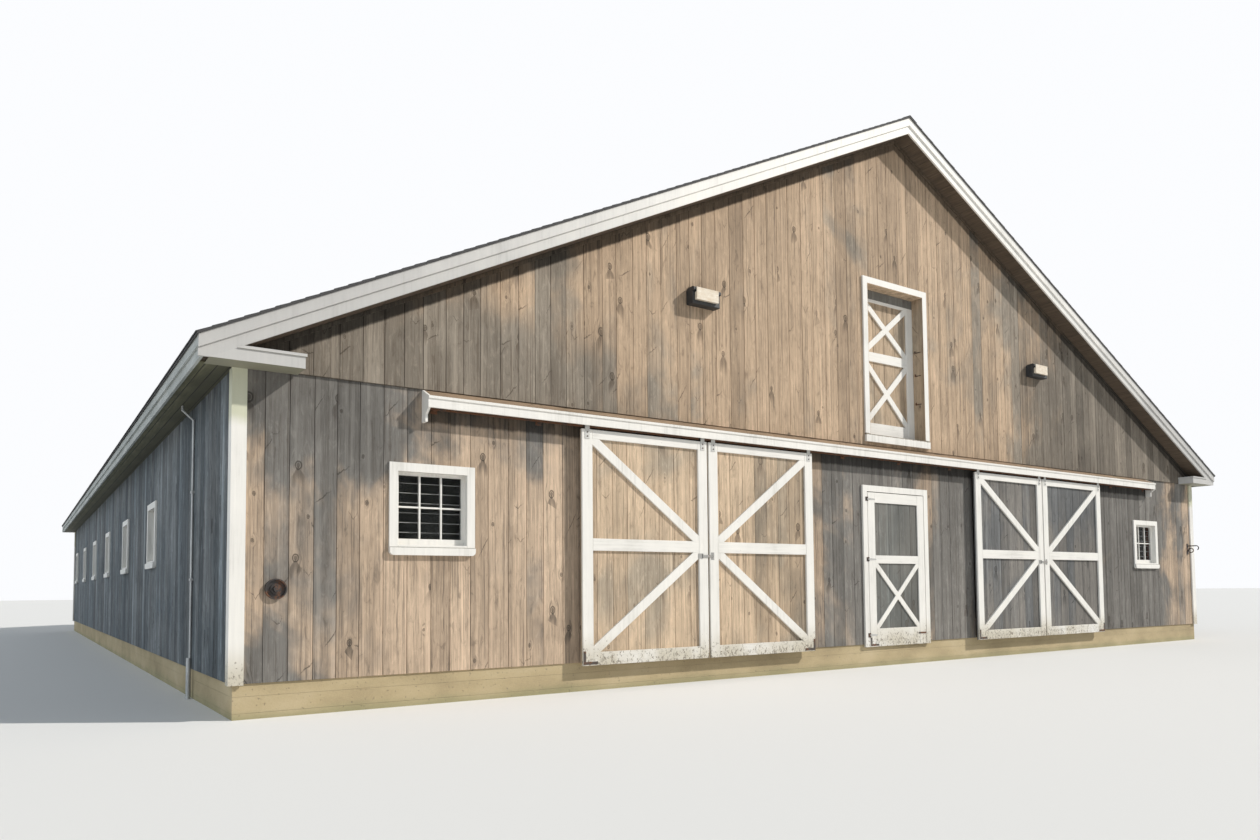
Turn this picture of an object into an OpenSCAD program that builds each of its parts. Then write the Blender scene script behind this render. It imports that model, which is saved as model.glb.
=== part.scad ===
// Gabled board barn with sliding and hinged braced doors.
// Front is -Y, +X is right, +Z is up. The origin is at the middle of the plan, level with
// the lowest point where the plinth meets the ground. All sizes are in millimetres.

/* [Building] */
// Width of the gable wall, corner to corner of the boards
barn_w = 18290; // [12000:10:24000]
// Length of one bay along the side walls
bay_l = 3658; // [3000:2:4200]
// Number of bays along each side wall
bays = 7; // [3:1:9]
// Height of the lower wall boards, from the plinth to the eave soffit
wall_h = 2860; // [2500:10:3600]
// Thickness of the framed and boarded walls
wall_t = 150; // [110:5:240]
// How far the gable boards stand proud of the boards below them
gable_proud = 25; // [15:1:40]

/* [Ground] */
// Height of the concrete plinth
plinth_h = 320; // [200:10:600]
// Thickness of the concrete plinth
plinth_t = 250; // [180:10:400]
// How far the plinth face is set back under the boards
plinth_in = 20; // [5:1:60]
// Thickness of the ground floor slab
slab_t = 120; // [80:5:200]
// Top of the loft floor above the eave soffit
loft_rise = 140; // [60:5:180]
// Depth of the loft floor with its joists
loft_t = 260; // [150:10:350]

/* [Roof] */
// Rise of the roof for each unit of run
pitch = 0.5; // [0.35:0.01:0.7]
// Height of the roof surface over the eave soffit, at the side wall face
heel_h = 366; // [330:2:420]
// Thickness of rafters and sheathing, square to the slope
deck_t = 200; // [150:2:230]
// Clearance left between pieces that only rest on one another
seat_gap = 0.3; // [0.1:0.1:1]
// Thickness of the shingle layer, square to the slope
shingle_t = 22; // [10:1:40]
// How far the shingles reach past the trim boards
shingle_lip = 15; // [5:1:40]
// Wall face to the back of the eave fascia
eave_out = 300; // [200:5:500]
// Wall face to the front of the rake boards
rake_out = 328; // [200:2:500]
// Thickness of the eave soffit boards
soffit_t = 12; // [8:1:25]
// How far the trim hangs below the soffit
drip = 15; // [5:1:30]

/* [Trim] */
// Thickness of casings, corner boards and lower rake boards
trim_t = 25; // [15:1:35]
// Thickness of the upper layer of the rake and eave boards
mould_t = 20; // [10:1:30]
// Height of the upper rake board, square to the slope
mould_h = 102; // [60:2:140]
// Height of both rake boards, square to the slope
rake_h = 204; // [150:2:240]
// Face width of the corner boards
corner_w = 130; // [80:5:180]
// Length of the cornice returns in from the building corner
return_l = 540; // [300:10:900]
// Height of the lip along the top of returns and hood
lip_h = 26; // [15:1:50]
// How far that lip stands out
lip_out = 12; // [5:1:30]
// Height of the cornice returns with their lip
return_h = 135; // [110:5:180]

/* [Windows] */
// Clear width inside the window casing
win_w = 734; // [500:2:1000]
// Clear height inside the window casing
win_h = 762; // [500:2:1100]
// Underside of the window opening above the foot of the boards
win_z = 1250; // [900:10:1500]
// Face width of window casings
casing_w = 86; // [60:1:120]
// Thickness of the lining inside window openings
lining_t = 18; // [12:1:25]
// Height of the window sills
sill_h = 76; // [40:2:110]
// How far window sills stand out from the wall
sill_out = 46; // [30:1:55]
// Depth from the wall face to the sash
sash_in = 55; // [30:1:90]
// Thickness of the sash
sash_t = 38; // [25:1:50]
// Width of the sash stiles and top rail
sash_w = 32; // [20:1:60]
// Height of the sash bottom rail
sash_foot = 92; // [50:2:120]
// Thickness of the glass
glass_t = 4; // [3:1:8]
// Left front window, from the ridge line
win_left_x = -7271; // [-8200:1:-6800]
// Right front window, from the ridge line
win_right_x = 7200; // [6800:1:8200]
// How much lower the right front window sits than the others
win_right_drop = 50; // [0:5:120]
// First side window, from the front wall
win_first_y = 5700; // [4800:10:6400]

/* [Sliding doors] */
// Middle of the left pair, from the ridge line
pair_1_x = -3768; // [-4200:1:-3300]
// Middle of the right pair, from the ridge line
pair_2_x = 3522; // [3300:1:4200]
// Width of each leaf of the left pair
leaf_1_w = 1790; // [1500:5:1900]
// Width of each leaf of the right pair
leaf_2_w = 1847; // [1500:1:1900]
// Gap between the two leaves of a pair
leaf_gap = 30; // [20:1:60]
// Top of the leaves above the foot of the boards
leaf_top = 2620; // [2400:5:2700]
// How far the leaves hang below the foot of the boards
leaf_drop = 30; // [10:1:80]
// Overlap of the leaves past the sides and top of the doorway
leaf_lap = 70; // [40:5:120]
// Gap between the wall face and the back of the leaves
leaf_off = 66; // [60:1:90]
// Thickness of the boards of the leaves
board_t = 25; // [18:1:35]
// Thickness of the white frame on the boards
frame_t = 29; // [18:1:40]
// Width of the stiles and middle rail
stile_w = 138; // [90:2:180]
// Height of the top rail
top_rail = 105; // [80:1:180]
// Height of the bottom rail
foot_rail = 147; // [90:1:200]
// Middle of the mid rail above the foot of the boards
mid_rail_z = 1320; // [1100:5:1500]
// Width of the diagonal braces
brace_w = 108; // [70:2:130]

/* [Door track] */
// Left end of the hood, from the ridge line
hood_left_x = -7388; // [-7600:1:-7250]
// Right end of the hood, from the ridge line
hood_right_x = 7315; // [7250:1:7500]
// How far the hood stands out from the wall
hood_out = 180; // [165:1:260]
// Drop of the hood top from wall to front edge
hood_fall = 88; // [60:1:140]
// Height of the hood front board with its lip
hood_front_h = 117; // [80:1:150]
// Thickness of the hood boards
hood_t = 25; // [15:1:30]
// Height of the flat track bar
track_h = 50; // [40:1:60]
// Thickness of the flat track bar
track_t = 10; // [8:1:12]
// Gap between the track bar and the top of the leaves
track_gap = 20; // [12:1:30]
// Tread radius of the hanger wheels
wheel_r = 28; // [22:1:30]
// Depth of the groove round the wheels
groove_d = 8; // [5:1:10]
// Width of the wheels
wheel_w = 30; // [24:1:34]
// Running clearance between wheel groove and track
wheel_gap = 0.8; // [0.5:0.1:1.5]
// Thickness of the hanger straps
strap_t = 6; // [4:1:8]
// Width of the hanger straps
strap_w = 60; // [40:1:80]
// Length of the strap on the face of the leaf
strap_l = 110; // [80:5:200]
// Length of the hasp's strap from its knuckle to its tip
hasp_l = 145; // [120:5:160]
// Height of the hasp's plate and of the staple's plate
hasp_h = 60; // [40:5:90]
// How far the hasp hangs below the middle rail
hasp_drop = 40; // [35:5:80]
// Spacing of the track brackets
bracket_step = 1220; // [600:10:1500]

/* [Person door] */
// Middle of the person door, from the ridge line
pdoor_x = -149; // [-400:1:200]
// Clear width inside its casing
pdoor_w = 1260; // [900:5:1400]
// Underside of its head casing above the foot of the boards
pdoor_h = 2186; // [1900:2:2300]
// Face width of its casing
pcasing_w = 88; // [60:1:120]
// Gap round the leaf
pdoor_gap = 11; // [4:1:15]
// How far leaf and casing reach below the foot of the boards
pdoor_drop = 36; // [10:1:60]
// Thickness of its boards
pboard_t = 20; // [15:1:30]
// Thickness of its frame
pframe_t = 20; // [15:1:30]
// Stile and top rail width
pstile_w = 146; // [90:2:160]
// Mid rail height
pmid_rail = 116; // [90:1:150]
// Middle of the mid rail above the foot of the boards
pmid_z = 1210; // [1000:5:1400]
// Bottom rail height
pfoot_rail = 255; // [150:1:300]
// Brace width
pbrace_w = 74; // [50:1:100]
// Radius of the hinge barrels
barrel_r = 7; // [6:0.5:9]
// Radius of the hinge pins
pin_r = 4; // [3:0.5:5]
// Running clearance round the hinge pins
pin_gap = 0.4; // [0.2:0.1:0.8]
// Thickness of the hinge plates
plate_t = 3; // [2:0.5:4]

/* [Loft door] */
// Middle of the loft door, from the ridge line
ldoor_x = -75; // [-400:1:200]
// Clear width inside its casing
ldoor_w = 1245; // [900:5:1500]
// Underside of its opening above the loft floor
ldoor_step = 15; // [5:5:400]
// Clear height inside its casing
ldoor_h = 2218; // [1600:2:2400]
// Face width of its casing
lcasing_w = 93; // [60:1:120]
// Height of its sill
lsill_h = 110; // [60:2:150]
// How far its sill stands out from the gable boards
lsill_out = 38; // [25:1:60]
// Height of the fixed board over the leaf
header_h = 137; // [80:1:200]
// Visible width of stiles and rails
lstile_w = 150; // [90:2:180]
// Mid rail height
lmid_rail = 140; // [90:2:180]
// Middle of the mid rail above the opening's underside
lmid_rise = 1213; // [900:1:1400]
// Bottom rail height
lfoot_rail = 220; // [120:2:260]
// Top rail height
ltop_rail = 45; // [30:1:120]
// Brace width
lbrace_w = 88; // [60:1:110]

/* [Fittings] */
// Width of the wall lights
light_w = 430; // [250:5:450]
// Height of the wall lights
light_h = 210; // [120:5:240]
// Depth of the wall lights, from the boards to the glass
light_d = 125; // [90:5:180]
// Height of the visor over the glass of a wall light
visor_h = 55; // [40:1:70]
// How far the visor stands out past the glass
visor_out = 30; // [15:1:40]
// Middle of the right wall light above the foot of the boards
light_z = 4470; // [4200:10:4800]
// How much lower the left wall light sits
light_1_drop = 45; // [0:5:80]
// Left light, from the middle of its pair of doors
light_1_off = -15; // [-200:5:200]
// Right light, from the middle of its pair of doors
light_2_off = -5; // [-200:5:200]
// Radius of the round iron flange
flange_r = 95; // [60:1:120]
// Flange, from the building corner
flange_x = 371; // [250:1:500]
// Flange above the foot of the boards
flange_z = 847; // [600:1:1100]
// Corner hook, from the building corner
hook_x = 215; // [170:1:350]
// Corner hook above the foot of the boards
hook_z = 1530; // [1300:5:1700]
// Reach of the hook's arm from the wall
hook_arm = 170; // [100:5:240]
// Radius of the hook's bend
hook_r = 45; // [35:1:60]
// Radius of the wiring conduit on the left wall
conduit_r = 13; // [10:1:20]
// Radius of the sleeve round its foot
sleeve_r = 25; // [20:1:35]
// Conduit, from the front wall
conduit_y = 2150; // [1800:10:2600]
// Gap between the wall and the conduit
strap_gap = 2; // [1:0.5:10]

/* [Hidden] */
$fn = 40;
barn_l = bays * bay_l;
slope_a = atan(pitch);
floor_z = plinth_h;
soffit_z = floor_z + wall_h;
loft_z = soffit_z + loft_rise;
fascia_z = soffit_z - drip;
// Vertical distances through the roof, along a plumb line
deck_v = deck_t / cos(slope_a);
shingle_v = shingle_t / cos(slope_a);
mould_v = mould_h / cos(slope_a);
rake_v = rake_h / cos(slope_a);
ridge_z = soffit_z + heel_h + pitch * barn_w / 2;
deck_z = ridge_z - shingle_v;
under_z = deck_z - deck_v;
seat_z = under_z - seat_gap;
rake_back = rake_out - mould_t - trim_t;
eave_x = barn_w / 2 + eave_out;
eave_face = eave_x + trim_t + mould_t;
win_hole_w = win_w + 2 * lining_t;
win_hole_h = win_h + 2 * lining_t;
win_head = floor_z + win_z;
leaf_z = floor_z - leaf_drop;
leaf_h = leaf_top + leaf_drop;
leaf_front = leaf_off + board_t + frame_t;
doorway_h = leaf_top - leaf_lap;
doorway_1_w = 2 * leaf_1_w + leaf_gap - 2 * leaf_lap;
doorway_2_w = 2 * leaf_2_w + leaf_gap - 2 * leaf_lap;
hood_w = hood_right_x - hood_left_x;
hood_x = (hood_left_x + hood_right_x) / 2;
hood_z = soffit_z - 2;
hood_front_z = hood_z - hood_fall;
track_z = floor_z + leaf_top + track_gap;
track_y = leaf_front - wheel_w / 2 - 5;
wheel_z = track_z + track_h + wheel_r + 0.3;
pdoor_front = pboard_t + pframe_t - 10;
hinge_x = pdoor_x - pdoor_w / 2 + pdoor_gap / 2;
hinge_y = -barn_l / 2 - pdoor_front - barrel_r;
ldoor_sill = loft_z + ldoor_step;

white = [0.93, 0.93, 0.9];
grey_board = [0.53, 0.48, 0.42];
concrete = [0.72, 0.67, 0.58];
iron = [0.25, 0.2, 0.18];
shingle_grey = [0.25, 0.24, 0.24];

// Solids from a profile

// Profile drawn as x and z, carried along Y about the middle of the plan
module along_y(length) {
  rotate([90, 0, 0]) linear_extrude(length, center = true) children();
}

// Profile drawn as y and z, carried along X from x = 0
module along_x(length) {
  rotate([90, 0, 90]) linear_extrude(length) children();
}

// Places its children on the front wall face, drawn with y = 0 on the boards
module on_front() {
  translate([0, -barn_l / 2, 0]) children();
}

// Draws its children at both ends of the building
module both_ends() {
  for (turn = [0, 180])
    rotate([0, 0, turn]) children();
}

// Plate on the front wall, from x0 to x1 and z0 to z1, between depths d0 and d1 into the wall
module plate(x0, x1, z0, z1, d0, d1) {
  translate([x0, d0, z0]) cube([x1 - x0, d1 - d0, z1 - z0]);
}

// Ground works

module foundation() {
  color(concrete)
    linear_extrude(plinth_h) difference() {
      square([barn_w - 2 * plinth_in, barn_l - 2 * plinth_in], center = true);
      square([barn_w - 2 * (plinth_in + plinth_t), barn_l - 2 * (plinth_in + plinth_t)], center = true);
    }
}

module floor_slab() {
  color(concrete)
    translate([0, 0, floor_z - slab_t]) linear_extrude(slab_t)
      square([barn_w - 2 * (plinth_in + plinth_t), barn_l - 2 * (plinth_in + plinth_t)], center = true);
}

module loft_floor() {
  color(grey_board)
    translate([0, 0, loft_z - loft_t]) linear_extrude(loft_t)
      square([barn_w - 2 * wall_t, barn_l - 2 * wall_t], center = true);
}

// Walls

// Hole for a window through a front or back wall
module window_hole(x, drop = 0) {
  translate([x - win_hole_w / 2, -gable_proud, win_head - lining_t - drop])
    cube([win_hole_w, wall_t + 2 * gable_proud, win_hole_h]);
}

module front_wall_left() {
  color(grey_board)
    on_front() difference() {
      plate(-barn_w / 2, pair_1_x - doorway_1_w / 2, floor_z, soffit_z, 0, wall_t);
      window_hole(win_left_x);
    }
}

module front_wall_right() {
  color(grey_board)
    on_front() difference() {
      plate(pair_2_x + doorway_2_w / 2, barn_w / 2, floor_z, soffit_z, 0, wall_t);
      window_hole(win_right_x, win_right_drop);
    }
}

module front_wall_mid_left() {
  color(grey_board)
    on_front() plate(pair_1_x + doorway_1_w / 2, pdoor_x - pdoor_w / 2, floor_z,
                     floor_z + doorway_h, 0, wall_t);
}

module front_wall_mid_right() {
  color(grey_board)
    on_front() plate(pdoor_x + pdoor_w / 2, pair_2_x - doorway_2_w / 2, floor_z,
                     floor_z + doorway_h, 0, wall_t);
}

module front_wall_over_doors() {
  color(grey_board)
    on_front() plate(pair_1_x - doorway_1_w / 2, pair_2_x + doorway_2_w / 2,
                     floor_z + doorway_h, soffit_z, 0, wall_t);
}

module front_wall_over_person_door() {
  color(grey_board)
    on_front() plate(pdoor_x - pdoor_w / 2, pdoor_x + pdoor_w / 2,
                     floor_z + pdoor_h, floor_z + doorway_h, 0, wall_t);
}

// Gable outline from the seam up to the underside of the rafters
module gable_outline() {
  polygon([
    [-barn_w / 2, soffit_z],
    [barn_w / 2, soffit_z],
    [barn_w / 2, seat_z - pitch * barn_w / 2],
    [0, seat_z],
    [-barn_w / 2, seat_z - pitch * barn_w / 2],
  ]);
}

// Gable wall with its boards proud of the wall below
module gable_wall() {
  translate([0, (wall_t - gable_proud) / 2 - barn_l / 2, 0])
    along_y(wall_t + gable_proud) gable_outline();
}

module front_gable() {
  color(grey_board) difference() {
    gable_wall();
    on_front()
      plate(ldoor_x - ldoor_w / 2, ldoor_x + ldoor_w / 2, ldoor_sill, ldoor_sill + ldoor_h,
            -2 * gable_proud, wall_t + gable_proud);
  }
}

module back_gable() {
  color(grey_board) rotate([0, 0, 180]) gable_wall();
}

module back_wall() {
  color(grey_board)
    rotate([0, 0, 180]) on_front() difference() {
      plate(-barn_w / 2, barn_w / 2, floor_z, soffit_z, 0, wall_t);
      window_hole(win_left_x);
      window_hole(-win_left_x);
    }
}

// Places its children at each side window, with +X along the wall and -Y outward
module at_side_windows(side) {
  for (i = [0 : bays - 2])
    translate([side * barn_w / 2, win_first_y + i * bay_l - barn_l / 2, 0])
      rotate([0, 0, side * 90]) children();
}

// Side wall between the end walls, its top cut to the slope of the rafters
module side_wall(side) {
  inner_x = barn_w / 2 - wall_t;
  difference() {
    along_y(barn_l - 2 * wall_t) polygon([
      [side * barn_w / 2, floor_z],
      [side * inner_x, floor_z],
      [side * inner_x, seat_z - pitch * inner_x],
      [side * barn_w / 2, seat_z - pitch * barn_w / 2],
    ]);
    at_side_windows(side) window_hole(0);
  }
}

module left_wall() {
  color(grey_board) side_wall(-1);
}

module right_wall() {
  color(grey_board) side_wall(1);
}

// Roof

// One slope of rafters and sheathing, with the level cut over the eave soffit
module deck_outline() {
  tail_z = soffit_z + soffit_t;
  polygon([
    [0, deck_z],
    [0, under_z],
    [(under_z - tail_z) / pitch, tail_z],
    [eave_x, tail_z],
    [eave_x, deck_z - pitch * eave_x],
  ]);
}

// One slope of shingles, reaching past the trim
module shingle_outline() {
  edge_x = eave_face + shingle_lip;
  polygon([
    [0, ridge_z],
    [0, deck_z],
    [edge_x, deck_z - pitch * edge_x],
    [edge_x, ridge_z - pitch * edge_x],
  ]);
}

module roof_slope() {
  along_y(barn_l + 2 * rake_back) deck_outline();
  along_y(barn_l + 2 * (rake_out + shingle_lip)) shingle_outline();
}

module roof_right() {
  color(shingle_grey) roof_slope();
}

module roof_left() {
  color(shingle_grey) mirror([1, 0, 0]) roof_slope();
}

// One rake board of the given height and reach past the eave, its tail cut plumb and level
module rake_outline(height_v, reach) {
  tail_x = eave_x + reach;
  low_x = min(tail_x, (deck_z - height_v - fascia_z) / pitch);
  polygon(concat(
    [[0, deck_z], [0, deck_z - height_v], [low_x, deck_z - height_v - pitch * low_x]],
    low_x < tail_x ? [[tail_x, fascia_z]] : [],
    [[tail_x, deck_z - pitch * tail_x]]
  ));
}

// Lower and upper rake boards of both slopes at the front
module rake_boards() {
  on_front() for (m = [0, 1]) mirror([m, 0, 0]) {
    translate([0, -rake_back - trim_t / 2, 0])
      along_y(trim_t) rake_outline(rake_v, trim_t + mould_t);
    translate([0, -rake_back - trim_t - mould_t / 2, 0])
      along_y(mould_t) rake_outline(mould_v, trim_t + mould_t);
  }
}

module rake_boards_front() {
  color(white) rake_boards();
}

module rake_boards_back() {
  color(white) rotate([0, 0, 180]) rake_boards();
}

// Two layer fascia on the rafter tails, with the level soffit back to the wall
module eave() {
  step_z = deck_z - mould_v - pitch * eave_x;
  along_y(barn_l + 2 * rake_back) polygon([
    [eave_x, fascia_z],
    [eave_x + trim_t, fascia_z],
    [eave_x + trim_t, step_z],
    [eave_face, step_z],
    [eave_face, deck_z - pitch * eave_face],
    [eave_x, deck_z - pitch * eave_x],
  ]);
  along_y(barn_l + 2 * gable_proud)
    translate([barn_w / 2, soffit_z]) square([eave_out - seat_gap, soffit_t]);
}

module right_eave() {
  color(white) eave();
}

module left_eave() {
  color(white) mirror([1, 0, 0]) eave();
}

// Boxed return at the foot of the right rake, drawn at the front
module cornice_return() {
  inner_x = barn_w / 2 - return_l;
  face = rake_back + trim_t;
  body_h = return_h - lip_h;
  difference() {
    on_front() {
      plate(inner_x, eave_x, fascia_z, fascia_z + return_h, -face, -gable_proud);
      plate(inner_x - lip_out, eave_x, fascia_z + body_h, fascia_z + return_h,
            -face - lip_out, -gable_proud);
    }
    along_y(barn_l + 4 * rake_out) rake_outline(rake_v, trim_t + mould_t);
  }
}

module cornice_returns() {
  color(white) both_ends() for (m = [0, 1]) mirror([m, 0, 0]) cornice_return();
}

// Trim

module corner_boards() {
  color(white)
    for (mx = [0, 1], my = [0, 1]) mirror([mx, 0, 0]) mirror([0, my, 0])
      translate([0, 0, floor_z - 10]) linear_extrude(fascia_z - floor_z + 10) difference() {
        translate([barn_w / 2 + trim_t - corner_w, barn_l / 2 + trim_t - corner_w])
          square(corner_w);
        translate([barn_w / 2 - corner_w, barn_l / 2 - corner_w])
          square(corner_w);
      }
}

// Casing, lining, sill and sash of one window, on a wall face at y = 0
module window_frame() {
  outer_w = win_w + 2 * casing_w;
  translate([0, 0, win_head]) {
    // casing on the face of the boards
    translate([0, -trim_t, 0]) rotate([-90, 0, 0]) linear_extrude(trim_t) difference() {
      translate([-outer_w / 2, -win_h - casing_w]) square([outer_w, win_h + casing_w]);
      translate([-win_w / 2, -win_h]) square([win_w, win_h + casing_w]);
    }
    // lining through the wall as far as the sash
    rotate([-90, 0, 0]) linear_extrude(sash_in + sash_t) difference() {
      translate([-win_hole_w / 2, -win_h - lining_t]) square([win_hole_w, win_hole_h]);
      translate([-win_w / 2, -win_h]) square([win_w, win_h]);
    }
    // sash
    translate([0, sash_in, 0]) rotate([-90, 0, 0]) linear_extrude(sash_t) difference() {
      translate([-win_w / 2, -win_h]) square([win_w, win_h]);
      translate([-win_w / 2 + sash_w, -win_h + sash_w])
        square([win_w - 2 * sash_w, win_h - sash_w - sash_foot]);
    }
    // sill with rounded lower corners
    translate([0, -sill_out, 0]) rotate([-90, 0, 0]) linear_extrude(sill_out)
      window_sill_outline(outer_w);
  }
}

module window_sill_outline(width) {
  corner_r = sill_h * 0.55;
  difference() {
    translate([-width / 2, 0]) square([width, sill_h]);
    for (m = [0, 1]) mirror([m, 0]) translate([width / 2 - corner_r, sill_h - corner_r])
      difference() {
        square(corner_r + 1);
        circle(corner_r);
      }
  }
}

// One pane, let into the middle of the sash
module pane() {
  rim = 0.3;
  translate([-win_w / 2 + sash_w + rim, sash_in + (sash_t - glass_t) / 2, win_head + sash_foot + rim])
    cube([win_w - 2 * (sash_w + rim), glass_t, win_h - sash_w - sash_foot - 2 * rim]);
}

// Both front windows, the right one lower
module at_front_windows() {
  on_front() {
    translate([win_left_x, 0, 0]) children();
    translate([win_right_x, 0, -win_right_drop]) children();
  }
}

module window_frames() {
  color(white) {
    at_front_windows() window_frame();
    rotate([0, 0, 180]) on_front()
      for (x = [win_left_x, -win_left_x]) translate([x, 0, 0]) window_frame();
    for (side = [-1, 1]) at_side_windows(side) window_frame();
  }
}

module front_glass() {
  color("lightblue") at_front_windows() pane();
}

module back_glass() {
  color("lightblue") rotate([0, 0, 180]) on_front()
    for (x = [win_left_x, -win_left_x]) translate([x, 0, 0]) pane();
}

module left_glass() {
  color("lightblue") at_side_windows(-1) pane();
}

module right_glass() {
  color("lightblue") at_side_windows(1) pane();
}

// Hood and track

module door_hood() {
  color(grey_board)
    on_front() translate([hood_left_x + hood_t, 0, 0]) along_x(hood_w - 2 * hood_t) polygon([
      [0, hood_z],
      [0, hood_z - hood_t],
      [-hood_out + hood_t, hood_z - hood_t - hood_fall * (hood_out - hood_t) / hood_out],
      [-hood_out + hood_t, hood_z - hood_fall * (hood_out - hood_t) / hood_out],
    ]);
}

// End board of the hood, cut back below the front board
module hood_end_outline() {
  front_low = hood_front_z - hood_front_h;
  neck = hood_out * 0.55;
  polygon([
    [0, hood_z],
    [-hood_out + seat_gap, hood_front_z],
    [-hood_out + seat_gap, front_low],
    [-neck, front_low - 60],
    [-neck, front_low - 135],
    [0, front_low - 135],
  ]);
}

module hood_trim() {
  front_low = hood_front_z - hood_front_h;
  color(white) on_front() {
    plate(hood_left_x + hood_t + seat_gap, hood_right_x - hood_t - seat_gap, front_low,
          hood_front_z + hood_fall * hood_t / hood_out - 14, -hood_out, -hood_out + hood_t);
    plate(hood_left_x, hood_right_x, hood_front_z - lip_h, hood_front_z, -hood_out - lip_out, -hood_out);
    for (x = [hood_left_x, hood_right_x - hood_t])
      translate([x, 0, 0]) along_x(hood_t) hood_end_outline();
  }
}

// Flat bar on edge, held off the wall by brackets close behind it
module door_track() {
  bar_w = hood_w - 2 * hood_t;
  spread = bar_w - 200;
  count = round(spread / bracket_step);
  arm = track_y - track_t / 2 - seat_gap;
  color(iron) on_front() {
    translate([hood_left_x + hood_t, -track_y - track_t / 2, track_z]) cube([bar_w, track_t, track_h]);
    for (i = [0 : count])
      translate([hood_x + (i / count - 0.5) * spread, 0, track_z]) {
        translate([-20, -arm, 8]) cube([40, arm, 24]);
        translate([-35, -6, -20]) cube([70, 6, 90]);
      }
  }
}

// Sliding leaves

// Both diagonal corners of a panel, joined by a brace of the given width
module brace(x0, z0, x1, z1, width) {
  run = [x1 - x0, z1 - z0];
  length = norm(run);
  translate([x0, z0]) rotate(atan2(run[1], run[0]))
    translate([-width, -width / 2]) square([length + 2 * width, width]);
}

// White frame of a leaf in x and z, with x = 0 on the outer edge and braces falling away from it
module leaf_outline(w) {
  mid_low = mid_rail_z + leaf_drop - stile_w / 2;
  mid_high = mid_low + stile_w;
  inner_r = w - stile_w;
  head = leaf_h - top_rail;
  difference() {
    square([w, leaf_h]);
    translate([stile_w, foot_rail]) square([inner_r - stile_w, mid_low - foot_rail]);
    translate([stile_w, mid_high]) square([inner_r - stile_w, head - mid_high]);
  }
  intersection() {
    translate([stile_w / 2, foot_rail / 2]) square([w - stile_w, leaf_h - foot_rail]);
    union() {
      intersection() {
        translate([0, mid_high - 1]) square([w, leaf_h]);
        brace(stile_w, head, inner_r, mid_high, brace_w);
      }
      intersection() {
        square([w, mid_low + 1]);
        brace(stile_w, foot_rail, inner_r, mid_low, brace_w);
      }
    }
  }
}

// Grooved wheel with its strap and axle, at x = 0
module hanger() {
  flange_out = wheel_r + groove_d;
  half_groove = track_t / 2 + wheel_gap;
  translate([0, -track_y, wheel_z]) rotate([90, 0, 0])
    rotate_extrude() polygon([
      [0, -wheel_w / 2],
      [flange_out, -wheel_w / 2],
      [flange_out, -half_groove - 2],
      [wheel_r, -half_groove],
      [wheel_r, half_groove],
      [flange_out, half_groove + 2],
      [flange_out, wheel_w / 2],
      [0, wheel_w / 2],
    ]);
  translate([0, -track_y, wheel_z]) rotate([90, 0, 0])
    cylinder(r = 9, h = leaf_front - track_y + strap_t + 8);
  translate([0, -leaf_front, 0]) rotate([90, 0, 0]) linear_extrude(strap_t) {
    translate([-strap_w / 2, floor_z + leaf_top - strap_l])
      square([strap_w, wheel_z - floor_z - leaf_top + strap_l]);
    translate([0, wheel_z]) circle(strap_w / 2);
  }
}

// Hasp on the inner stile of a left leaf, its strap reaching over the gap, edge at x = 0
module hasp() {
  knuckle_x = 58 - hasp_l;
  stand_off = 9;
  rotate([90, 0, 0]) {
    translate([knuckle_x - 65, -hasp_h / 2, 0]) cube([65, hasp_h, plate_t]);
    translate([0, 0, stand_off]) linear_extrude(plate_t) {
      translate([knuckle_x, -14]) square([hasp_l - 14, 28]);
      translate([44, 0]) circle(14);
    }
  }
  translate([knuckle_x, -7, -hasp_h / 2 + 1]) cylinder(r = 6, h = hasp_h - 2);
}

// Staple on the inner stile of a right leaf, an eye standing on a plate, edge at x = 0
module staple() {
  rotate([90, 0, 0]) translate([18, -0.75 * hasp_h, 0]) cube([44, 1.5 * hasp_h, plate_t]);
  translate([40, -plate_t - seat_gap, 0]) rotate([0, 90, 0]) rotate(180)
    rotate_extrude(angle = 180) translate([14, 0]) circle(3.5, $fn = 12);
}

// Places a leaf of a pair, hand -1 on the left and 1 on the right, x = 0 on its outer edge
module leaf_place(pair_x, w, hand) {
  on_front() translate([pair_x + hand * (w + leaf_gap / 2), 0, 0]) mirror([hand > 0 ? 1 : 0, 0, 0])
    children();
}

module leaf_boards(pair_x, w, hand) {
  color(grey_board) leaf_place(pair_x, w, hand)
    plate(0, w, leaf_z, leaf_z + leaf_h, -leaf_off - board_t, -leaf_off);
}

module leaf_frame(pair_x, w, hand) {
  hanger_in = stile_w / 2;
  color(white) leaf_place(pair_x, w, hand) {
    translate([0, -leaf_off - board_t, leaf_z]) rotate([90, 0, 0]) linear_extrude(frame_t) leaf_outline(w);
    for (x = [hanger_in, w - hanger_in]) translate([x, 0, 0]) hanger();
    translate([w, -leaf_front - seat_gap, floor_z + mid_rail_z - stile_w / 2 - hasp_drop])
      if (hand < 0) hasp();
      else mirror([1, 0, 0]) staple();
  }
}

module door_1_left_boards() {
  leaf_boards(pair_1_x, leaf_1_w, -1);
}

module door_1_left_frame() {
  leaf_frame(pair_1_x, leaf_1_w, -1);
}

module door_1_right_boards() {
  leaf_boards(pair_1_x, leaf_1_w, 1);
}

module door_1_right_frame() {
  leaf_frame(pair_1_x, leaf_1_w, 1);
}

module door_2_left_boards() {
  leaf_boards(pair_2_x, leaf_2_w, -1);
}

module door_2_left_frame() {
  leaf_frame(pair_2_x, leaf_2_w, -1);
}

module door_2_right_boards() {
  leaf_boards(pair_2_x, leaf_2_w, 1);
}

module door_2_right_frame() {
  leaf_frame(pair_2_x, leaf_2_w, 1);
}

// Person door and loft door

// Heights of the three person door hinges above its foot
function hinge_heights() = [130, pmid_z, pdoor_h - 110];
barrel_l = 26;

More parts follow.
